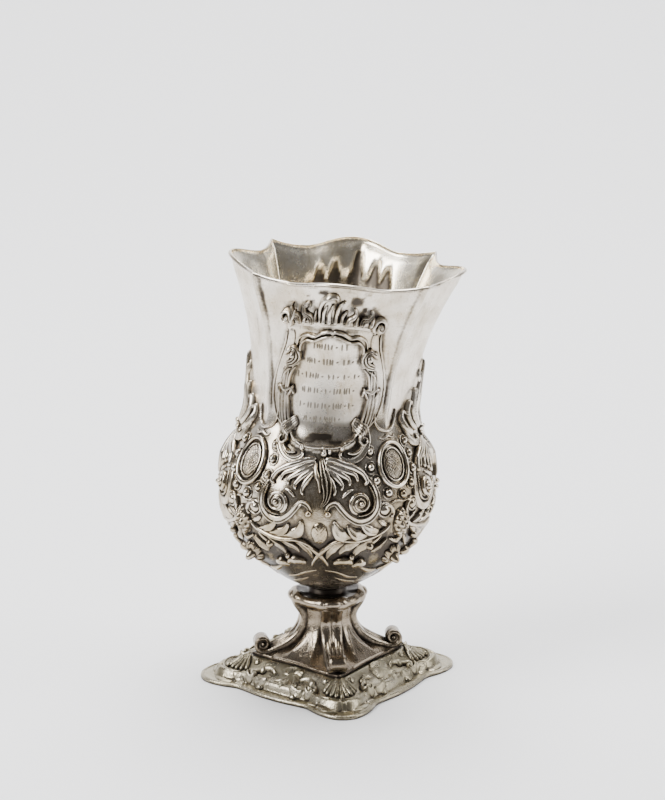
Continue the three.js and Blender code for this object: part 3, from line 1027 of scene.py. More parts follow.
FRAMES = Ornament("tablet_frames", [
    *both(
        Stroke([(28, 97), (34.5, 100), (38.2, 105), (39.4, 110), (38, 116), (34.5, 122), (31, 127),
                (29.5, 132)], (1.2, 1.7, 1.2), (1.0, 1.3, 1.0)),
        Stroke([(13, 93.3), (20, 94.8), (25, 99.5), (27.6, 105), (28.2, 111), (26.4, 116.5),
                (22.6, 119.2)], (0.9, 1.2, 1.0), (0.8, 1.2, 1.2)),
        Stroke([(20.4, 123), (19.4, 127), (15.6, 129.4), (10.5, 129.4), (7.6, 130.4), (4, 131.4),
                (0, 131.8)], (1.1, 1.3, 1.2), (1.1, 1.5, 1.4)),
        Stroke([(22.6, 126), (20, 130), (15, 131.6), (10, 131.4), (6, 132.9), (0, 133.8)],
               (0.9, 1.3, 1.2), (1.0, 1.5, 1.4)),
        Stroke([(33.4, 100.5), (35.4, 106), (35.4, 112), (32, 119.5), (27.6, 126), (25.4, 132.5)],
               (2.6, 4.6, 3.6), (0.7, 1.0, 0.9), COVE),
        Stroke([(29, 98), (31, 103), (31.6, 108.5), (31, 114), (29.4, 119)], (4.0, 4.4, 3.6),
               (1.0, 1.5, 1.2), REEDS),
        Stroke([(23.6, 108.6), (26, 111), (29.5, 110.6), (33, 112), (36.8, 109.6)], 1.8, 2.0),
        Stroke([(24.6, 112.4), (27, 109.4), (29, 107.6)], 1.4, 1.9),
        Stroke([(36, 112.6), (33.6, 110), (32, 107.6)], 1.4, 1.9),
        Stroke([(30.5, 119.4), (27.5, 120), (24, 121), (21.6, 122.8), (22.4, 125.4), (25.4, 125.8),
                (26.6, 124.2)], (2.2, 3.4, 1.6), (1.5, 2.5, 2.0), REEDS),
        Stroke([(30.4, 122.8), (27.4, 125), (24.2, 125.4)], 2.6, 2.3),
        Stroke([(26, 118.5), (29.5, 117), (32.6, 113.4)], 1.2, 1.7),
        Stroke([(-1, 91.9), (6, 91.9), (12, 92.4), (18, 93.6)], (1.0, 1.1, 0.7), (0.9, 1.0, 0.8)),
        Stroke([(19.6, 96.6), (23, 99), (28, 98.4), (29.6, 94.6), (26.4, 90.6), (21, 88.2),
                (15.6, 87.8), (11.6, 89.4), (12.2, 91.6)], (2.0, 3.2, 1.2), (1.4, 2.2, 1.6), COVE),
        Stroke([(26.2, 94.4), (24.6, 91.6), (20, 90), (15.4, 90.2)], (1.0, 2.0, 1.0),
               (1.2, 1.9, 1.4)),
        Stroke([(19.4, 100.8), (23.4, 98.8), (27, 95.8), (28.6, 92.6)], (3.6, 5.6, 3.4),
               (1.2, 2.5, 1.8), Section.FINE_REEDS),
        Stroke(spiral((26.4, 94.0), 60.0, 2.6, 1.2, unit=BELLY_DEGREE), (1.6, 1.4, 1.0),
               (2.0, 2.6, 2.6)),
        Boss((12.4, 91.4), (1.1, 1.1, 1.8)),
        Boss((24.4, 123.6), (1.6, 1.5, 3.0)),
    ),
    Boss((1.8, 90.6), (0.9, 1.1, 1.6)),
    Boss((5.0, 90.6), (0.9, 1.1, 1.6)),
], (0, 2))

CRESTS = Ornament("crests", [
    Stroke([(-29, 133.4), (-20, 134.6), (-10, 135.4), (0, 135.8), (10, 135.2), (19, 134.2),
            (26, 132.6)], (1.2, 2.0, 1.2), (0.5, 0.8, 0.5), COVE),
    Stroke([(-19.5, 134.6), (-21.4, 137.6), (-24.4, 139.4), (-25.4, 141.9), (-23.6, 142.2)],
           (2.4, 2.2, 0.8), (1.2, 1.8, 1.3), REEDS),
    Stroke([(-25.6, 135.6), (-23.4, 138.2), (-22.6, 140.4)], 1.6, 1.9),
    Stroke([(-11.6, 135), (-13.4, 138.4), (-16.6, 140), (-16.4, 142.2), (-13.8, 142.4),
            (-13, 140.8)], (2.2, 2.0, 1.0), (1.2, 2.0, 1.8), REEDS),
    Stroke([(-17.4, 135.4), (-15.6, 138.2)], 1.6, 1.6),
    Stroke([(-7.6, 136), (-8, 139.8), (-6.6, 142.8), (-3.4, 144.9), (0.6, 144.6), (1.6, 143)],
           (1.2, 1.7, 1.2), (1.2, 1.7, 1.5)),
    Stroke([(-5.4, 136), (-5.4, 139.6), (-3.6, 142.6)], (1.5, 1.5, 0.7), (1.1, 1.5, 1.3)),
    Stroke([(-2.2, 136.2), (-2.4, 139.6), (-0.6, 143)], (1.5, 1.6, 0.7), (1.1, 1.6, 1.4)),
    Stroke([(0.8, 136), (1.4, 139.4), (2.8, 142.4), (5.4, 143.6)], (1.5, 1.8, 0.7),
           (1.1, 1.7, 1.3)),
    Stroke([(3.8, 135.8), (4.4, 138.6), (6.6, 140.6)], (1.5, 1.6, 0.7), (1.1, 1.5, 1.2)),
    Stroke([(7.0, 135.6), (7.8, 138.0), (10.4, 139.2), (11.0, 141), (9.2, 141.6)], (2.0, 1.8, 0.8),
           (1.1, 1.8, 1.5)),
    Stroke([(-9.8, 135.4), (-10.4, 138.0), (-9.6, 140.2)], (1.4, 1.4, 0.6), (1.1, 1.5, 1.2)),
    Stroke([(11.6, 135), (11.6, 137.4), (13.4, 138.8)], 1.6, 1.6),
    Stroke([(15, 134.8), (16, 137.6), (19, 138.8), (20.8, 140.6), (18.6, 140.9)], (2.2, 2.0, 0.9),
           (1.2, 1.9, 1.5), REEDS),
    Stroke([(20.6, 134.4), (21, 137), (23.6, 138.4)], 1.8, 1.7),
    Stroke(spiral((-29.4, 136.2), -70.0, 3.3, 1.4, unit=BELLY_DEGREE), (2.0, 1.8, 1.1),
           (1.4, 2.3, 2.5)),
    Stroke(spiral((27.4, 135.4), -110.0, 3.3, -1.4, unit=BELLY_DEGREE), (2.0, 1.8, 1.1),
           (1.4, 2.3, 2.5)),
    Boss((-29.4, 136.2), (1.0, 1.0, 2.5)),
    Boss((27.4, 135.4), (1.0, 1.0, 2.5)),
], (0, 2))

SPRAYS = Ornament("leaf_sprays", [
    Stroke([(0, 91), (1.4, 98), (-0.8, 105), (0.8, 111), (0.6, 117.2)], (4.4, 3.6, 0.8),
           (1.4, 2.0, 1.0), REEDS),
    Boss((0.0, 91.4), (1.8, 1.5, 2.4)),
    *both(
        Stroke([(3.4, 92), (6.4, 98), (6.6, 104), (3.6, 109.4), (2.4, 113)], (2.4, 3.0, 0.8),
               (1.2, 1.7, 1.0)),
        Stroke([(7.6, 92.4), (12.4, 97.4), (13, 103), (9.4, 107), (7.2, 105.4)], (2.4, 3.0, 1.0),
               (1.2, 1.8, 1.2), REEDS),
        Stroke([(12.6, 92.6), (18.6, 96), (20.4, 100.6), (16.6, 103.4), (14.4, 101.6)],
               (2.2, 2.8, 1.0), (1.2, 1.7, 1.2)),
        Stroke([(18, 91.6), (25.4, 94.4), (28, 98.4), (24.6, 100.8), (22.4, 99)], (2.2, 2.8, 1.0),
               (1.2, 1.8, 1.4)),
        Stroke([(2.6, 108), (5.4, 111.4), (4.2, 114.4)], (1.0, 1.6, 0.6), 1.0),
        Stroke([(28, 96), (24, 91), (17, 88.6), (12, 89.6), (12.6, 91.6)], (1.8, 3.0, 1.2),
               (1.4, 2.1, 1.6), COVE),
        Boss((10.0, 98.4), (0.9, 1.3, 1.6)),
        Boss((21.6, 99.6), (1.0, 1.0, 1.9)),
    ),
], (1, 3))

PALMETTES = Ornament("palmettes", [
    *both(
        Stroke([(2, 88.6), (8, 88.2), (14, 86.8), (20, 85.4), (25, 83.2), (26.4, 80.8),
                (24.2, 79.8)], (2.2, 3.0, 1.6), (1.2, 2.3, 1.9)),
        Stroke([(2, 87.6), (9, 86.4), (15, 84.8), (20.4, 83.2), (21.6, 80.8)], (2.2, 2.8, 1.2),
               (1.2, 1.8, 1.4)),
        Stroke([(2, 86.8), (8, 85.2), (13, 83.6), (16.8, 81.8), (16.6, 79.6)], (2.2, 2.8, 1.2),
               (1.2, 1.9, 1.4)),
        Stroke([(2, 86), (6.6, 84.2), (10.6, 82.2), (12.8, 80.2), (12, 78.4)], (2.0, 2.7, 1.2),
               (1.2, 1.8, 1.4)),
        Stroke([(1.6, 85.4), (5, 83), (7.6, 80.8), (8.8, 78.6), (7.8, 76.8)], (1.9, 2.5, 1.0),
               (1.2, 1.8, 1.3)),
    ),
    Stroke([(0.4, 89), (2.2, 85.4), (4, 82), (4.8, 78.6), (3.6, 75.4), (0.8, 73.2)],
           (2.4, 4.4, 0.8), (1.4, 2.7, 1.4), REEDS),
    Stroke([(-2.6, 88), (-2, 84.6), (0.4, 81.4), (1, 77.6)], (1.4, 2.4, 0.7), (1.2, 2.1, 1.3)),
    Boss((1.6, 90.0), (1.5, 1.0, 1.9)),
])

SCROLLS = Ornament("belly_scrolls", both(
    Stroke([(25.4, 83.4), (29.4, 80.6), (31.8, 76.2), (31, 71.4), (26.8, 68.5), (21, 68),
            (16, 69.8), (12, 72.6), (8.6, 74.7), (5.4, 73.8), (4.2, 71.6), (5.8, 70)],
           (1.4, 2.9, 1.4), (1.2, 2.0, 1.6), COVE),
    Stroke([(27.4, 80), (29.4, 76), (28.4, 72), (24.8, 70.4), (20, 70)], (0.6, 0.9, 0.6),
           (1.2, 1.6, 1.2)),
    Stroke(spiral(VOLUTE, -100.0, 3.9, -2.0, 0.2, BELLY_DEGREE), (1.8, 1.6, 1.0),
           (1.2, 1.8, 2.3)),
    Stroke([(12, 76.2), (15.6, 78.2), (19.4, 79)], (0.8, 1.6, 0.6), 1.2),
    Boss(VOLUTE, (1.1, 1.1, 2.7)),
    Boss(VOLUTE, (3.4, 3.6, 1.1), fineness=20),
    Boss((5, 71.2), (1.4, 1.3, 2.3)),
))

FOLIAGE = Ornament("foliage", [
    *both(
        Stroke([(39.6, 66.2), (37, 64.2), (32, 62.6), (26, 61.7), (19, 61.4), (12, 61.6), (6, 60),
                (1.6, 57)], (1.6, 2.0, 1.0), (1.2, 1.8, 1.3)),
        Stroke([(34, 63.2), (29, 64), (25, 65.6), (22, 68)], (2.0, 4.0, 0.8), (1.2, 1.9, 1.3),
               LEAF),
        Stroke([(28, 62.4), (22, 63), (18, 64.6), (15, 67.4)], (2.2, 4.8, 0.8), (1.2, 2.1, 1.3),
               LEAF),
        Stroke([(20, 62), (14, 62.8), (10, 65.2), (8.2, 69.2)], (2.2, 5.4, 0.8), (1.2, 2.3, 1.4),
               LEAF),
        Stroke([(38, 65.6), (34.4, 66.8), (31.6, 68.2)], (1.2, 2.2, 0.6), (1.2, 1.6, 1.2), LEAF),
        Stroke([(31, 61.6), (27, 59.6), (23, 58), (19.6, 54.6)], (2.0, 3.8, 1.2), (1.2, 2.0, 1.6),
               LEAF),
        Stroke([(23, 61), (18, 59.6), (13.6, 58.2), (11, 55.6)], (2.0, 3.8, 0.8), (1.2, 2.0, 1.4),
               LEAF),
        Stroke([(14, 61.2), (9.6, 59.6), (6, 57.2), (3.6, 53.4)], (2.0, 3.8, 0.8), (1.2, 2.1, 1.4),
               LEAF),
        Stroke([(35, 62.8), (32, 61.2), (29, 59.2)], (1.4, 2.2, 1.2), (1.2, 1.8, 1.6)),
        Stroke([(39.4, 67.6), (40.6, 70), (38.6, 72.2), (35.4, 72.4), (34.4, 70)], (1.4, 1.8, 1.2),
               (1.2, 1.6, 1.6)),
        Stroke([(8.4, 60.4), (4, 58.2), (0, 55.8), (-3.6, 52.8), (-5.6, 50)], (1.0, 2.6, 0.8),
               (1.2, 1.7, 1.2)),
        Stroke([(8, 51.4), (13, 52.8), (18.4, 52.6), (21, 50.8)], (2.2, 3.2, 2.4), (1.2, 2.3, 1.6)),
        Stroke([(20.6, 49.4), (25, 51.4), (30, 50.8)], (2.2, 3.6, 2.2), (1.2, 2.5, 1.6)),
        Stroke([(31, 55), (35.6, 57.6), (39.6, 60.4)], (1.6, 2.8, 1.2), (1.2, 1.9, 1.4), LEAF),
        Stroke([(2, 47.6), (11, 46.4), (21, 43.8), (33, 42.4)], (0.6, 1.3, 0.6), (0.2, 0.45, 0.3)),
        Stroke([(10, 43.6), (20, 41.4), (33, 40)], (0.6, 1.3, 0.6), (0.2, 0.4, 0.3)),
        Stroke([(28, 48.4), (36, 46.2), (45, 45.6)], (1.0, 2.2, 1.0), (0.6, 1.2, 0.7)),
        Boss((28.6, 58.6), (1.6, 1.5, 2.5)),
        Boss((19.2, 54.4), (1.1, 1.2, 2.0)),
        Boss((35.6, 71.0), (2.1, 2.0, 1.9), fineness=16),
        Ring((35.6, 71.0), (2.4, 2.4), 0.8, 1.2, 24),
    ),
    Boss((0.6, 64.0), (2.9, 4.1, 1.3), hammered, 40),
])

CORNERS = Ornament("corner_trim", [
    Stroke([(34, 103), (36, 99.6), (39.4, 97), (45, 96), (50.6, 97), (54, 99.6), (56, 103)],
           (1.0, 1.5, 1.0), (1.0, 1.2, 1.0)),
    Stroke([(37.6, 94.6), (41, 93.6), (45, 94.4), (49, 93.6), (52.4, 94.6)], (0.6, 1.6, 0.6),
           (0.6, 1.0, 0.6)),
    Stroke([(38.4, 72.6), (43, 73.4), (48, 72.8), (53, 73.2)], (0.8, 1.2, 0.8), (0.8, 1.2, 0.8)),
    Stroke([(40, 60.4), (45, 59), (51, 60.4)], (1.0, 2.0, 1.0), (0.8, 1.6, 0.8)),
    *bud_petals(),
    Ring((RIDGE, 85.0), (6.3, 7.2), 1.8, 1.9, 56),
    Ring((RIDGE, 85.0), (4.3, 5.3), 0.7, 1.1, 48),
    Boss((RIDGE, 85.0), (4.1, 5.1, 1.5), crosshatched, 96),
    Boss((RIDGE + 1.0, 65.6), (3.2, 5.4, 3.1), scaled, 80),
    Boss((RIDGE + 1.0, 53.8), (1.9, 1.5, 4.2), fineness=16),
    *pearl_marks(),
])

ORNAMENTS = (FRAMES, CRESTS, SPRAYS, PALMETTES, SCROLLS, FOLIAGE, CORNERS)

# Old stains: degrees from the front panel's middle, height, half width, half height, amount.
STAINS: tuple[Spot, ...] = (
    (10.0, 122.4, 5.0, 2.6, 0.5), (-2.0, 95.6, 8.0, 1.1, 1.5), (8.0, 93.6, 4.0, 0.8, 0.7),
    (-9.0, 94.4, 3.0, 0.8, 0.7), (0.0, 112.0, 26.0, 20.0, 0.2), (-7.0, 145.6, 2.6, 0.7, 1.2),
    (-15.0, 144.6, 1.6, 0.6, 0.9), (7.0, 146.6, 3.4, 0.5, 1.0), (-13.0, 147.2, 4.0, 0.6, 0.8),
    (11.0, 143.6, 4.0, 1.7, 1.25), (0.0, 133.5, 23.0, 0.8, 0.6), (16.0, 141.0, 1.4, 0.8, 0.9),
    (16.0, 146.4, 3.0, 1.0, 0.7), (23.0, 140.0, 3.4, 3.4, 0.5), (31.0, 125.0, 3.4, 9.0, 0.4),
    (-31.0, 140.0, 3.0, 2.0, 0.35), (-44.0, 142.0, 2.6, 6.0, 0.5), (40.0, 136.0, 2.2, 10.0, 0.4),
    (58.0, 141.0, 5.0, 2.4, 0.5), (70.0, 120.0, 6.0, 10.0, 0.3), (-64.0, 128.0, 2.0, 6.0, 0.6),
    (170.0, 122.0, 8.0, 4.0, 0.4), (110.0, 136.0, 6.0, 3.0, 0.4), (-140.0, 130.0, 3.0, 9.0, 0.4),
)
# Height and ends, in degrees, of each row of cuts.
INSCRIPTION_ROWS: tuple[Triple, ...] = (
    (127.0, -11.0, 10.0), (121.6, -21.0, 20.0), (116.3, -22.0, 23.0), (111.2, -18.0, 20.0),
    (106.0, -19.0, 21.0), (101.4, -15.0, 12.0),
)


def crowding_maps() -> SideMaps:
    """How closely strokes crowd round each place of a tablet side and of a spray side."""
    maps = []
    for side in (0, 1):
        marks = [mark for item in ORNAMENTS if side in item.sides for mark in item.marks]
        strokes = [mark for mark in marks if isinstance(mark, Stroke)]
        maps.append(SideMap.blank().covered(strokes).blurred(1.5))
    return maps[0], maps[1]


# ------------------------------------------------------------------ the bowl


@dataclass(frozen=True)
class Bowl:
    """The chased vessel and its ornament."""

    form: BowlForm = field(default_factory=BowlForm)
    columns: int = 440
    outer_rows: int = 146
    inner_rows: int = 56
    slot: str = "bowl_silver"
    outside: SilverFinish = SilverFinish("bowl_outside")
    inside: SilverFinish = SilverFinish(
        "bowl_inside", clean=(0.95, 0.88, 0.74), stain=(0.66, 0.55, 0.37), roughness=0.14
    )
    cuts: SilverFinish = SilverFinish(
        "worn_cuts", clean=(0.3, 0.27, 0.22), stain=(0.2, 0.17, 0.12), roughness=0.45
    )
    crowds: SideMaps = field(default_factory=crowding_maps)
    # The beaten lifts spread wider, to paint shadow on the low ground beside raised parts.
    shadow_spreads: SideMaps = (BEATEN[0].blurred(1.3), BEATEN[1].blurred(1.3))

    def laid_tarnish_and_shade(self, angle: Array, height: Array, inside: Array) -> Array:
        """Tarnish between ornament, painted shade by raised ground, ridges and inner crest hollows,
        and old stain marks.

        Args:
            angle: degrees from the middle of the front panel.
            height: heights in mm.
            inside: whether each place is on the inner face.

        Returns:
            Values from 0 to about 1.
        """
        apart = np.abs(across_panel(angle))
        belly = smoothstep(height, 96.0, 86.0)
        middle = smoothstep(apart, 36.0, 26.0) * belly
        crowd = smoothstep(read_sides(self.crowds, angle, height), 0.08, 0.4)
        ground = crowd * (0.25 + 0.4 * belly) + 0.15 * middle
        ground = np.minimum(ground, 0.95) + 0.5 * smoothstep(height, 56.0, 44.0) + 0.1 * belly
        ground = ground * (1.0 - 0.75 * spot(apart - 25.0, height - 91.0, 7.0, 3.2, 4))
        # Painted shade: a dark line beside the rib on each ridge, from the neck up.
        crease_shade = 0.75 * np.exp(-(((apart - 42.6) / 1.1) ** 2)) * smoothstep(height, 97.0, 104.0)
        lift = self.form.emboss(angle, height)
        # Painted shadow on the low ground just outside the raised frames, flames and sprays.
        hollow = np.clip(read_sides(self.shadow_spreads, angle, height) - lift, 0.0, 1.0)
        stains_and_shade = 1.9 * hollow * smoothstep(height, 88.0, 92.0) + crease_shade
        around = np.mod(np.asarray(angle, float) + 180.0, 360.0) - 180.0
        for x, y, wide, tall, amount in STAINS:
            stains_and_shade = stains_and_shade + amount * spot(around - x, height - y, wide, tall, 4)
        # Painted shade in the crest pockets, seen from inside.
        pocket_shade = smoothstep(lift, 0.45, 1.3) * smoothstep(height, 128.0, 134.0) * 1.6
        share = 0.5 + 0.7 * smoothstep(height, 74.0, 58.0)
        return np.where(inside, pocket_shade + 0.1, share * ground + 1.3 * stains_and_shade)

    def vessel(self) -> None:
        """The beaten sheet itself, inside and out, closed over the lip."""
        form, mesh = self.form, ReliefMesh()
        low, high, wall = form.seat_height + 0.8, form.lip_height, form.wall
        outer = low + (high - 1.15 - low) * np.linspace(0.0, 1.0, self.outer_rows) ** 1.04
        inner = high - 1.1 + (low + 1.3 - high) * np.linspace(0.0, 1.0, self.inner_rows) ** 1.15
        # The rim's rows, turning over from the outer face to the inner one.
        rim = high - np.array([1.05, 0.85, 0.6, 0.5, 0.7, 0.95])
        rim_lift = np.array([-0.1, 0.05, -0.15, -wall + 0.1, -wall - 0.35, -wall - 0.3])
        tucked = -0.42 * smoothstep(outer, high - 6.0, high - 1.4)
        # Two rows at each end close the seat under the bowl and the ledge inside it.
        poles = np.zeros(2)
        heights = np.concatenate([poles, outer, rim, inner, poles])
        lifts = np.concatenate([poles, tucked, rim_lift, 0.0 * inner - wall, poles])
        rows, first_inner = len(heights) - 1, 2 + len(outer) + 4

        def place(angle: Array, row: Array) -> Placed:
            """Wraps the grid to the vessel's two faces, with more columns by the ridges."""
            across = across_panel(angle)
            angle = angle - 0.25 * across + 0.25 * RIDGE * np.sin(np.radians(across * 2.0))
            height = np.maximum(heights[row], low)
            thicker = 0.6 * smoothstep(height, 129.0, 133.0) * smoothstep(height, 147.0, 145.0)
            points = form.place(angle, height, lifts[row] - thicker * (row >= first_inner))
            heading = form.heading(angle)
            seat = polar(heading, np.where(row == 1, form.seat_radius, 0.0), form.seat_height)
            ledge_reach = np.where(row == rows, 0.0, form.seat_radius)
            ledge_height = form.seat_height + wall + np.where(row == rows, 0.0, 0.2)
            points = chosen(row < 2, seat, points)
            ledge = polar(heading, ledge_reach, ledge_height)
            points = chosen(row >= rows - 1, ledge, points)
            return points, self.laid_tarnish_and_shade(angle, height, row >= first_inner)

        mesh.lathe(self.columns, rows, place)
        piece = mesh.finish("vessel", self.slot, (self.outside, self.inside), ["bowl"])
        way = heading_ways(form.bend_heading)[0]
        for face in piece.data.polygons:
            middle, normal = face.center, face.normal
            amount = float(form.bend_share(middle.z / MM)) ** form.bend_power
            x, y = (middle[axis] - form.bend_shift * amount * way[axis] * MM for axis in (0, 1))
            inward = normal.x * x + normal.y * y < 0.0
            face.material_index = int(inward or (normal.z > 0.7 and middle.z < 0.05))

    def inscription(self) -> None:
        """Rows of shallow cuts in place of the front tablet's inscription; none is a letter."""
        chance = np.random.default_rng(5)
        cuts = []
        for height, left, right in INSCRIPTION_ROWS:
            across = left
            while across < right:
                tall, lean = chance.uniform(1.3, 1.7), chance.uniform(-0.4, 0.4)
                path = [(across - lean, height - tall), (across + lean, height + tall)]
                cuts.append(Stroke(path, 1.0, 0.34))
                if chance.random() < 0.3:
                    path = [(across + 1.9, height - 0.3), (across + 4.1, height + 0.3)]
                    cuts.append(Stroke(path, 0.8, 0.34))
                    across += 4.2
                across += chance.choice([1.5, 2.0, 3.0])
        mesh = ReliefMesh()
        mesh.drape(self.form.chart(0), cuts)
        mesh.finish("inscription_marks", self.slot, [self.cuts])

    def build(self) -> None:
        """Builds the vessel and its ornament."""
        self.vessel()
        self.inscription()
        for item in ORNAMENTS:
            mesh = ReliefMesh()
            for side in item.sides:
                mesh.drape(self.form.chart(side), item.marks)
            mesh.finish(item.name, self.slot, [self.outside])


# ------------------------------------------------------------------ the stem


@dataclass(frozen=True)
class Stem:
    """The casting that carries the bowl."""

    form: StemForm = field(default_factory=StemForm)
    strap_width: float = 7.6
    volute_reach: float = 23.4
    volute_height: float = 12.15
    volute_radius: float = 3.6
    columns: int = 192
    finish: SilverFinish = SilverFinish(
        "stem_aged", clean=(0.47, 0.41, 0.34), stain=(0.27, 0.22, 0.16), roughness=0.22,
        grain=0.4, stipple=0.5,
    )

    def core(self, mesh: ReliefMesh) -> None:
        """Collar, dish, rolled capital, waist and skirt."""
        form = self.form
        # Rows of the skirt and waist, of the rolled capital, and of the collar over it.
        skirt = form.bottom + (form.waist_top - form.bottom) * np.linspace(0.0, 1.0, 46) ** 1.4
        rolls = np.radians(np.linspace(-80.0, 120.0, 15))
        collar = form.collar_radius
        radii = np.array([7.4, collar, collar, collar - 0.3, 0.0])
        levels = np.array([31.0, 31.1, form.top - 0.3, form.top, form.top])
        first_roll = len(skirt) + 1
        first_collar = first_roll + len(rolls)

        def place(angle: Array, row: Array) -> Placed:
            """Wraps the grid to the core's profile."""
            bulge = 1.0 - 0.3 * smoothstep(np.abs(across_panel(angle)), 16.0, 34.0)
            points = polar(angle, 0.0 * angle, form.bottom)
            body = form.place(angle, skirt[np.clip(row - 1, 0, len(skirt) - 1)], 0.0)
            points = chosen(row >= 1, body, points)
            turn = rolls[np.clip(row - first_roll, 0, len(rolls) - 1)]
            reach = form.capital_reach + 2.8 * bulge * np.cos(turn)
            roll = polar(angle, reach, form.capital_height + 2.6 * bulge * np.sin(turn))
            points = chosen(row >= first_roll, roll, points)
            index = np.clip(row - first_collar, 0, len(radii) - 1)
            top = polar(angle, radii[index], levels[index])
            points = chosen(row >= first_collar, top, points)
            dish = np.where(row > first_collar - 4, 1.1, 0.25)
            return points, dish + 0.4 * smoothstep(points[:, 2], 11.0, 8.0)

        mesh.lathe(self.columns, first_collar + len(radii) - 1, place)

    def strap(self, mesh: ReliefMesh, heading: float) -> None:
        """One scroll strap with two bands at its top and reeds near its volute."""
        # Reach and height of the strap's middle line, down to its curl.
        fall = [(11.4, 29.8), (12.4, 28.6), (11.6, 26.8), (9.9, 24.6), (8.9, 22.2), (9.3, 19.2),
                (11.2, 15.6), (14.9, 12.4), (19.2, 10.2)]
        eye = (self.volute_reach, self.volute_height)
        curl = spiral(eye, -100.0, self.volute_radius - 0.5, 1.45, 0.3)
        curve, ways = smooth_path([*fall, *curl], 90)
        steps, top, under = len(curve) - 1, 29, 5
        across = np.concatenate([np.linspace(-1.0, 1.0, top), np.linspace(1.0, -1.0, under)])
        loop = len(across)
        way, side_way = heading_ways(heading)

        def place(row: Array, column: Array) -> Placed:
            """Wraps the grid round the strap."""
            column = column % loop
            share, u, upper = row / steps, across[column], column < top
            bands = 0.4 + 0.6 * np.abs(np.sin(np.pi * u)) ** 0.7
            reeds = 0.72 + 0.28 * np.cos(5.0 * np.pi * u)
            blend = smoothstep(share, 0.3, 0.5)
            crown = (1.0 - blend) * bands + blend * reeds
            # Along the strap: its thickness, its width, and how deep its root goes.
            thick = np.interp(
                share, [0.0, 0.05, 0.12, 0.45, 0.75, 0.95, 1.0], [0.0, 0.9, 1.3, 1.3, 1.0, 0.7, 0.0]
            )
            wide = np.interp(share, [0.0, 0.06, 0.5, 0.62, 1.0], [0.9, 1.0, 0.96, 0.88, 0.68])
            wide = wide * self.strap_width / 2.0
            root = np.interp(
                share, [0.0, 0.14, 0.2, 0.45, 0.56, 1.0], [0.5, 2.0, 2.6, 2.6, 0.6, 0.5]
            )
            normal = np.stack([-ways[row, 1], ways[row, 0]], axis=-1)
            spots = curve[row] + normal * np.where(upper, crown * thick, -root)[:, None]
            flat = spots[:, 0:1] * way + (u * wide)[:, None] * side_way
            points = np.column_stack([flat, spots[:, 1]])
            # Tarnish and painted shade in the grooves between the strap's bands and reeds.
            return points, np.where(upper, 1.15 - 1.15 * crown, 0.5)

        mesh.grid(steps, loop, place)

    def volute_sides(self, mesh: ReliefMesh, heading: float) -> None:
        """The eye of a volute, standing out on both sides, and its flat web."""
        way, side_way = heading_ways(heading)
        for radius, inset, power in ((1.15, 0.7, 1.0), (2.7, 1.9, 0.45)):
            half = self.strap_width / 2 - inset

            def place(x: Array, y: Array, z: Array) -> Placed:
                """Stretches the ball across the strap."""
                along = np.sign(z) * np.abs(z) ** power * half
                out = self.volute_reach + x * radius
                flat = out[:, None] * way + along[:, None] * side_way
                return np.column_stack([flat, self.volute_height + y * radius]), 1.0 - np.abs(z)

            mesh.ball(20, place)

    def rolls(self, mesh: ReliefMesh, heading: float) -> None:
        """The roll at a strap's top, with a ball at each end."""
        way, side_way = heading_ways(heading)
        for across, half, size in ((0.0, 3.3, 1.7), (-3.1, 0.5, 0.9), (3.1, 0.5, 0.9)):

            def place(x: Array, y: Array, z: Array) -> Placed:
                """Stretches the ball into a roll across the strap."""
                out, along = 12.6 + x * size, across + y * half
                flat = out[:, None] * way + along[:, None] * side_way
                return np.column_stack([flat, 29.6 + z * size]), 0.5 * (1.0 - np.abs(z))

            mesh.ball(16, place)

    def leaves(self) -> list[Mark]:
        """The faint leaves and edge line of the skirt beside a strap."""
        faint = ((0.8, 1.8, 0.6), (0.3, 0.5, 0.3), LEAF)
        edge = [(x, 8.7) for x in (14, 22, 30, 38, 45, 52, 60, 68, 76)]
        return [
            Stroke(edge, (0.6, 0.7, 0.6), (0.5, 0.6, 0.5)),
            Stroke([(28, 10.6), (34, 12.6), (40, 15.8), (44, 19.6)], *faint),
            Stroke([(62, 10.6), (56, 12.6), (50, 15.8), (46, 19.6)], *faint),
            Stroke([(45, 9.8), (45, 12.0), (45, 15.0)], (0.8, 2.0, 0.6), (0.4, 0.6, 0.3), REEDS),
        ]

    def build(self) -> None:
        """Builds the stem in one piece."""
        mesh = ReliefMesh()
        self.core(mesh)
        for side in range(SIDES):
            heading = side * QUARTER
            self.strap(mesh, heading)
            self.volute_sides(mesh, heading)
            self.rolls(mesh, heading)
            mesh.drape(self.form.chart(heading), self.leaves())
        mesh.finish("stem_casting", "stem_silver", [self.finish], ["stem"])


# ------------------------------------------------------------------ the foot


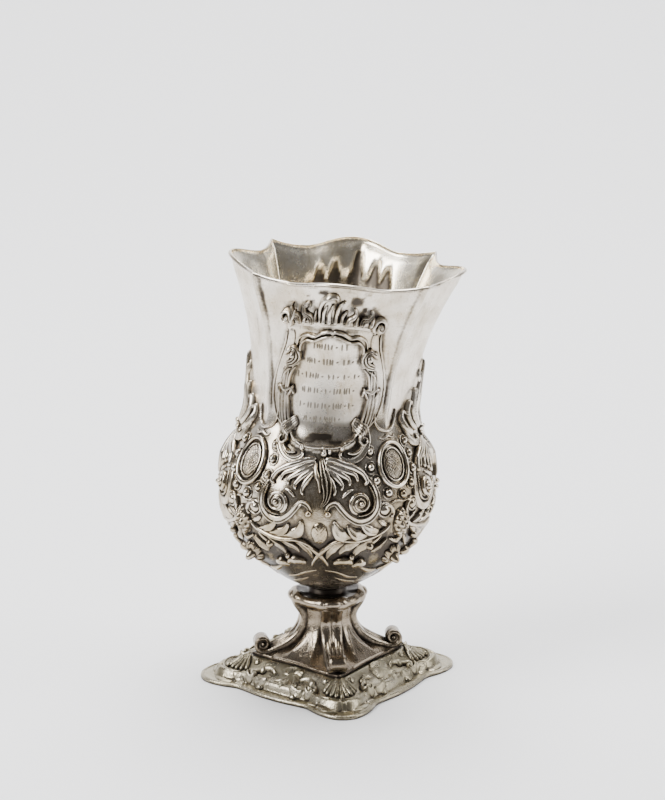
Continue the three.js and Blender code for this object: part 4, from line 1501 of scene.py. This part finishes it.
@dataclass(frozen=True)
class Foot:
    """The square foot with its shells, vine leaves and tendrils."""

    form: FootForm = field(default_factory=FootForm)
    columns: int = 384
    shell_ribs: int = 9
    finish: SilverFinish = SilverFinish(
        "foot_aged", clean=(0.56, 0.51, 0.42), stain=(0.34, 0.3, 0.21), roughness=0.28,
        grain=0.4, stipple=0.7,
    )

    def plate(self, mesh: ReliefMesh) -> None:
        """The pressed plate, hollow beneath."""
        form = self.form
        upper = np.concatenate([
            np.linspace(0.0, 0.44, 16), np.linspace(0.46, 0.75, 24), np.linspace(0.8, 0.92, 4),
            np.linspace(0.93, 1.0, 12),
        ])
        # The hollow underside: shares of the way out, and heights.
        under = np.array([0.995, 0.9, 0.74, 0.72, 0.68, 0.62, 0.5, 0.4, 0.2, 0.0])
        under_level = np.array([0.0, 0.0, 0.0, 0.6, 2.2, 2.9, 2.6, 3.2, 5.0, 6.1])
        rows = len(upper) + len(under) + 1

        def place(angle: Array, row: Array) -> Placed:
            """Wraps the grid to the plate's two faces."""
            inner, way = form.span(angle)
            reach = inner + way * upper[np.clip(row - 1, 0, len(upper) - 1)]
            top = polar(angle, reach, form.height(angle, reach))
            index = np.clip(row - 1 - len(upper), 0, len(under) - 1)
            reach = inner + way * under[index]
            below = polar(angle, reach, under_level[index])
            points = chosen(row > len(upper), below, top)
            pole = polar(angle, 0.0 * angle, np.where(row == 0, form.top, under_level[-1]))
            points = chosen((row == 0) | (row == rows), pole, points)
            ground = 1.1 * smoothstep(form.share(angle, reach), 0.58, 0.46) + 0.15
            return points, np.where(row > len(upper), 0.5, ground)

        mesh.lathe(self.columns, rows, place)

    def bracket(self) -> list[Mark]:
        """The double swelling of the moulding before a corner."""
        marks = []
        for hand in (1.0, -1.0):
            path = [(38.6, 0.3 * hand), (38.8, 3 * hand), (37.4, 6.2 * hand), (34.4, 8.8 * hand)]
            marks.append(Stroke(path, (3.6, 5.0, 2.6), (0.4, 0.7, 0.4)))
            path = [(34.6, 8.4 * hand), (32.8, 9.6 * hand), (31.2, 12 * hand)]
            marks.append(Stroke(path, (2.0, 2.6, 1.6), (0.4, 0.6, 0.4)))
        return marks

    def shell(self) -> list[Mark]:
        """A ribbed scallop shell on a corner, below the volute."""
        half = (self.shell_ribs - 1) // 2
        edge = [(31, -7.6), (34.4, -6.4), (36.6, -3.4), (37.2, 0), (36.6, 3.4), (34.4, 6.4),
                (31, 7.6)]
        marks = [Stroke(edge, (0.8, 1.0, 0.8), (0.5, 0.6, 0.5)), Boss((35.6, 0.0), (0.9, 0.9, 1.6))]
        for index in range(self.shell_ribs):
            turn = math.radians(-66.0 + index * 66.0 / half)
            reach = 8.6 - 1.2 * abs(index - half) / half
            path = [(27.2 + reach * share * math.cos(turn), reach * share * math.sin(turn) * 0.9)
                    for share in (0.05, 0.35, 0.7, 1.0)]
            marks.append(Stroke(path, (0.6, 1.9, 1.7), (1.2, 1.9, 1.2)))
        return marks

    def leaf(self) -> list[Mark]:
        """A vine leaf in the middle of a side, with tendrils and buds."""
        x, y = 22.6, 1.0
        marks: list[Mark] = [Boss((23.2, y), (4.6, 4.8, 0.8), fineness=24)]
        for lobe, reach in ((0.0, 7.2), (52.0, 6.2), (-52.0, 6.2), (108.0, 5.2), (-108.0, 5.2)):
            turn = math.radians(lobe)
            for bend, wide, part in ((-15.0, 2.9, 0.82), (15.0, 2.9, 0.82), (0.0, 3.4, 1.0)):
                tip, far = math.radians(lobe + bend), reach * part
                near = 0.5 * far
                path = [(x, y), (x + near * math.cos(turn), y + near * math.sin(turn)),
                        (x + far * math.cos(tip), y + far * math.sin(tip))]
                marks.append(Stroke(path, (1.2, wide, 0.9), (1.0, 1.35, 0.8), LEAF))
        for hand in (1.0, -1.0):
            curl = spiral((27.2, 12.6 * hand), 180.0, 2.6, -1.2 * hand, 0.3)
            tendril = [(23.4, 5.0 * hand), (22.4, 8.6 * hand), *curl]
            spur = [(28.4, 4.6 * hand), (29.4, 8.4 * hand), (28.4, 11 * hand)]
            marks += [
                Stroke(tendril, (1.4, 1.5, 1.0), (1.2, 1.6, 1.6)),
                Boss((27.2, 12.6 * hand), (1.1, 1.1, 1.9)),
                Boss((23.6, 10.8 * hand), (1.3, 1.5, 1.7)),
                Stroke(spur, (1.2, 1.8, 0.8), 1.5),
                Boss((30.2, 7.4 * hand), (1.0, 1.6, 1.3)),
                Boss((21.6, 15.0 * hand), (0.9, 1.3, 1.0)),
            ]
        return marks

    def build(self) -> None:
        """Builds the foot in one piece."""
        mesh = ReliefMesh()
        self.plate(mesh)
        for side in range(SIDES):
            corner = side * QUARTER
            mesh.drape(self.form.chart(corner), [*self.bracket(), *self.shell()])
            mesh.drape(self.form.chart(corner + RIDGE), self.leaf())
        mesh.finish("foot_plate", "foot_silver", [self.finish], ["foot"])


# ------------------------------------------------------------------ the studio


# Name, place as the camera sees it, width and height in metres, and watts.
LIGHTS: tuple[tuple[str, Triple, Point, float], ...] = (
    ("key_softbox", (-1.15, -0.55, 1.0), (0.75, 0.9), 30.0),
    ("top_softbox", (0.1, 0.45, 1.75), (1.3, 1.1), 66.0),
    ("side_softbox", (1.1, -0.1, 0.6), (0.35, 1.0), 7.0),
)


@dataclass(frozen=True)
class Studio:
    """Pale floor and backdrop, soft lights and the camera; all sizes here are in metres."""

    heading: float = -8.2
    pitch: float = 15.48
    lens: float = 103.5
    eye: Triple = (0.00173, -0.768, 0.3131)
    target: Triple = (0.0, 0.0, 0.09)
    floor_front: float = -0.24
    floor_length: float = 2.2
    bend_start: float = 0.7
    bend_radius: float = 0.5
    half_width: float = 2.4

    def seen(self, right: float, back: float, up: float) -> Triple:
        """A place given as metres right, back and up, as the camera sees them."""
        way, side_way = heading_ways(self.heading)
        return (right * way[0] + back * side_way[0], right * way[1] + back * side_way[1], up)

    def sweep(self) -> None:
        """A seamless floor that curves up into a backdrop behind the goblet."""
        bm = bmesh.new()
        made = bmesh.ops.create_grid(bm, x_segments=2, y_segments=60, size=1.0)
        for vert in made["verts"]:
            y, z = self.floor_front + self.floor_length * (vert.co.y + 1.0) / 2.0, 0.0
            past = y - self.bend_start
            if past > 0.0:
                bend = min(past / self.bend_radius, math.pi / 2)
                rest = max(0.0, past - self.bend_radius * math.pi / 2)
                y = self.bend_start + self.bend_radius * math.sin(bend)
                z = self.bend_radius * (1.0 - math.cos(bend)) + rest * 2.0
            vert.co = self.seen(vert.co.x * self.half_width, y, z)
        mesh = bpy.data.meshes.new("sweep")
        bm.to_mesh(mesh)
        bm.free()
        mesh.shade_smooth()
        sweep = bpy.data.objects.new("sweep", mesh)
        bpy.context.scene.collection.objects.link(sweep)
        material = bpy.data.materials.new("sweep_paper")
        material.use_nodes = True
        NodeMaker(material.node_tree).feed(material.node_tree.nodes["Principled BSDF"], {
            "Base Color": (0.92, 0.92, 0.93, 1.0), "Roughness": 0.9, "Specular IOR Level": 0.1,
        })
        mesh.materials.append(material)

    def light(self, name: str, place: Triple, size: Point, power: float) -> None:
        """A soft rectangular light that faces the goblet.

        Args:
            name: the light's name.
            place: metres right, back and up, as the camera sees them.
            size: its width and height in metres.
            power: its power in watts.
        """
        data = bpy.data.lights.new(name, "AREA")
        data.shape, data.size, data.size_y, data.energy = "RECTANGLE", size[0], size[1], power
        lamp = bpy.data.objects.new(name, data)
        lamp.location = self.seen(*place)
        facing = Vector(self.target) - lamp.location
        lamp.rotation_euler = facing.to_track_quat("-Z", "Y").to_euler()
        bpy.context.scene.collection.objects.link(lamp)

    def camera(self) -> None:
        """The camera, at the height and distance of a seated viewer's eye."""
        camera = bpy.data.objects.new("camera", bpy.data.cameras.new("camera"))
        camera.data.lens = self.lens
        camera.data.clip_start = 0.05
        camera.location = self.seen(*self.eye)
        tilt = math.radians(90.0 - self.pitch)
        camera.rotation_euler = (tilt, 0.0, math.radians(self.heading))
        bpy.context.scene.collection.objects.link(camera)
        bpy.context.scene.camera = camera

    def world(self) -> None:
        """A dim grey room, so that the silver has something darker to reflect."""
        world = bpy.data.worlds.new("room")
        world.use_nodes = True
        NodeMaker(world.node_tree).feed(world.node_tree.nodes["Background"], {
            "Color": (0.62, 0.62, 0.64, 1.0), "Strength": 0.26,
        })
        bpy.context.scene.world = world

    def build(self) -> None:
        """Sets up floor, lights, camera and world."""
        self.camera()
        self.sweep()
        self.world()
        for light in LIGHTS:
            self.light(*light)


def main() -> None:
    """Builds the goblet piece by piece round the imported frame."""
    logging.basicConfig(level=logging.INFO, format="%(name)s %(message)s")
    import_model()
    Studio().build()
    Bowl().build()
    Stem().build()
    Foot().build()


if __name__ == "__main__":
    main()
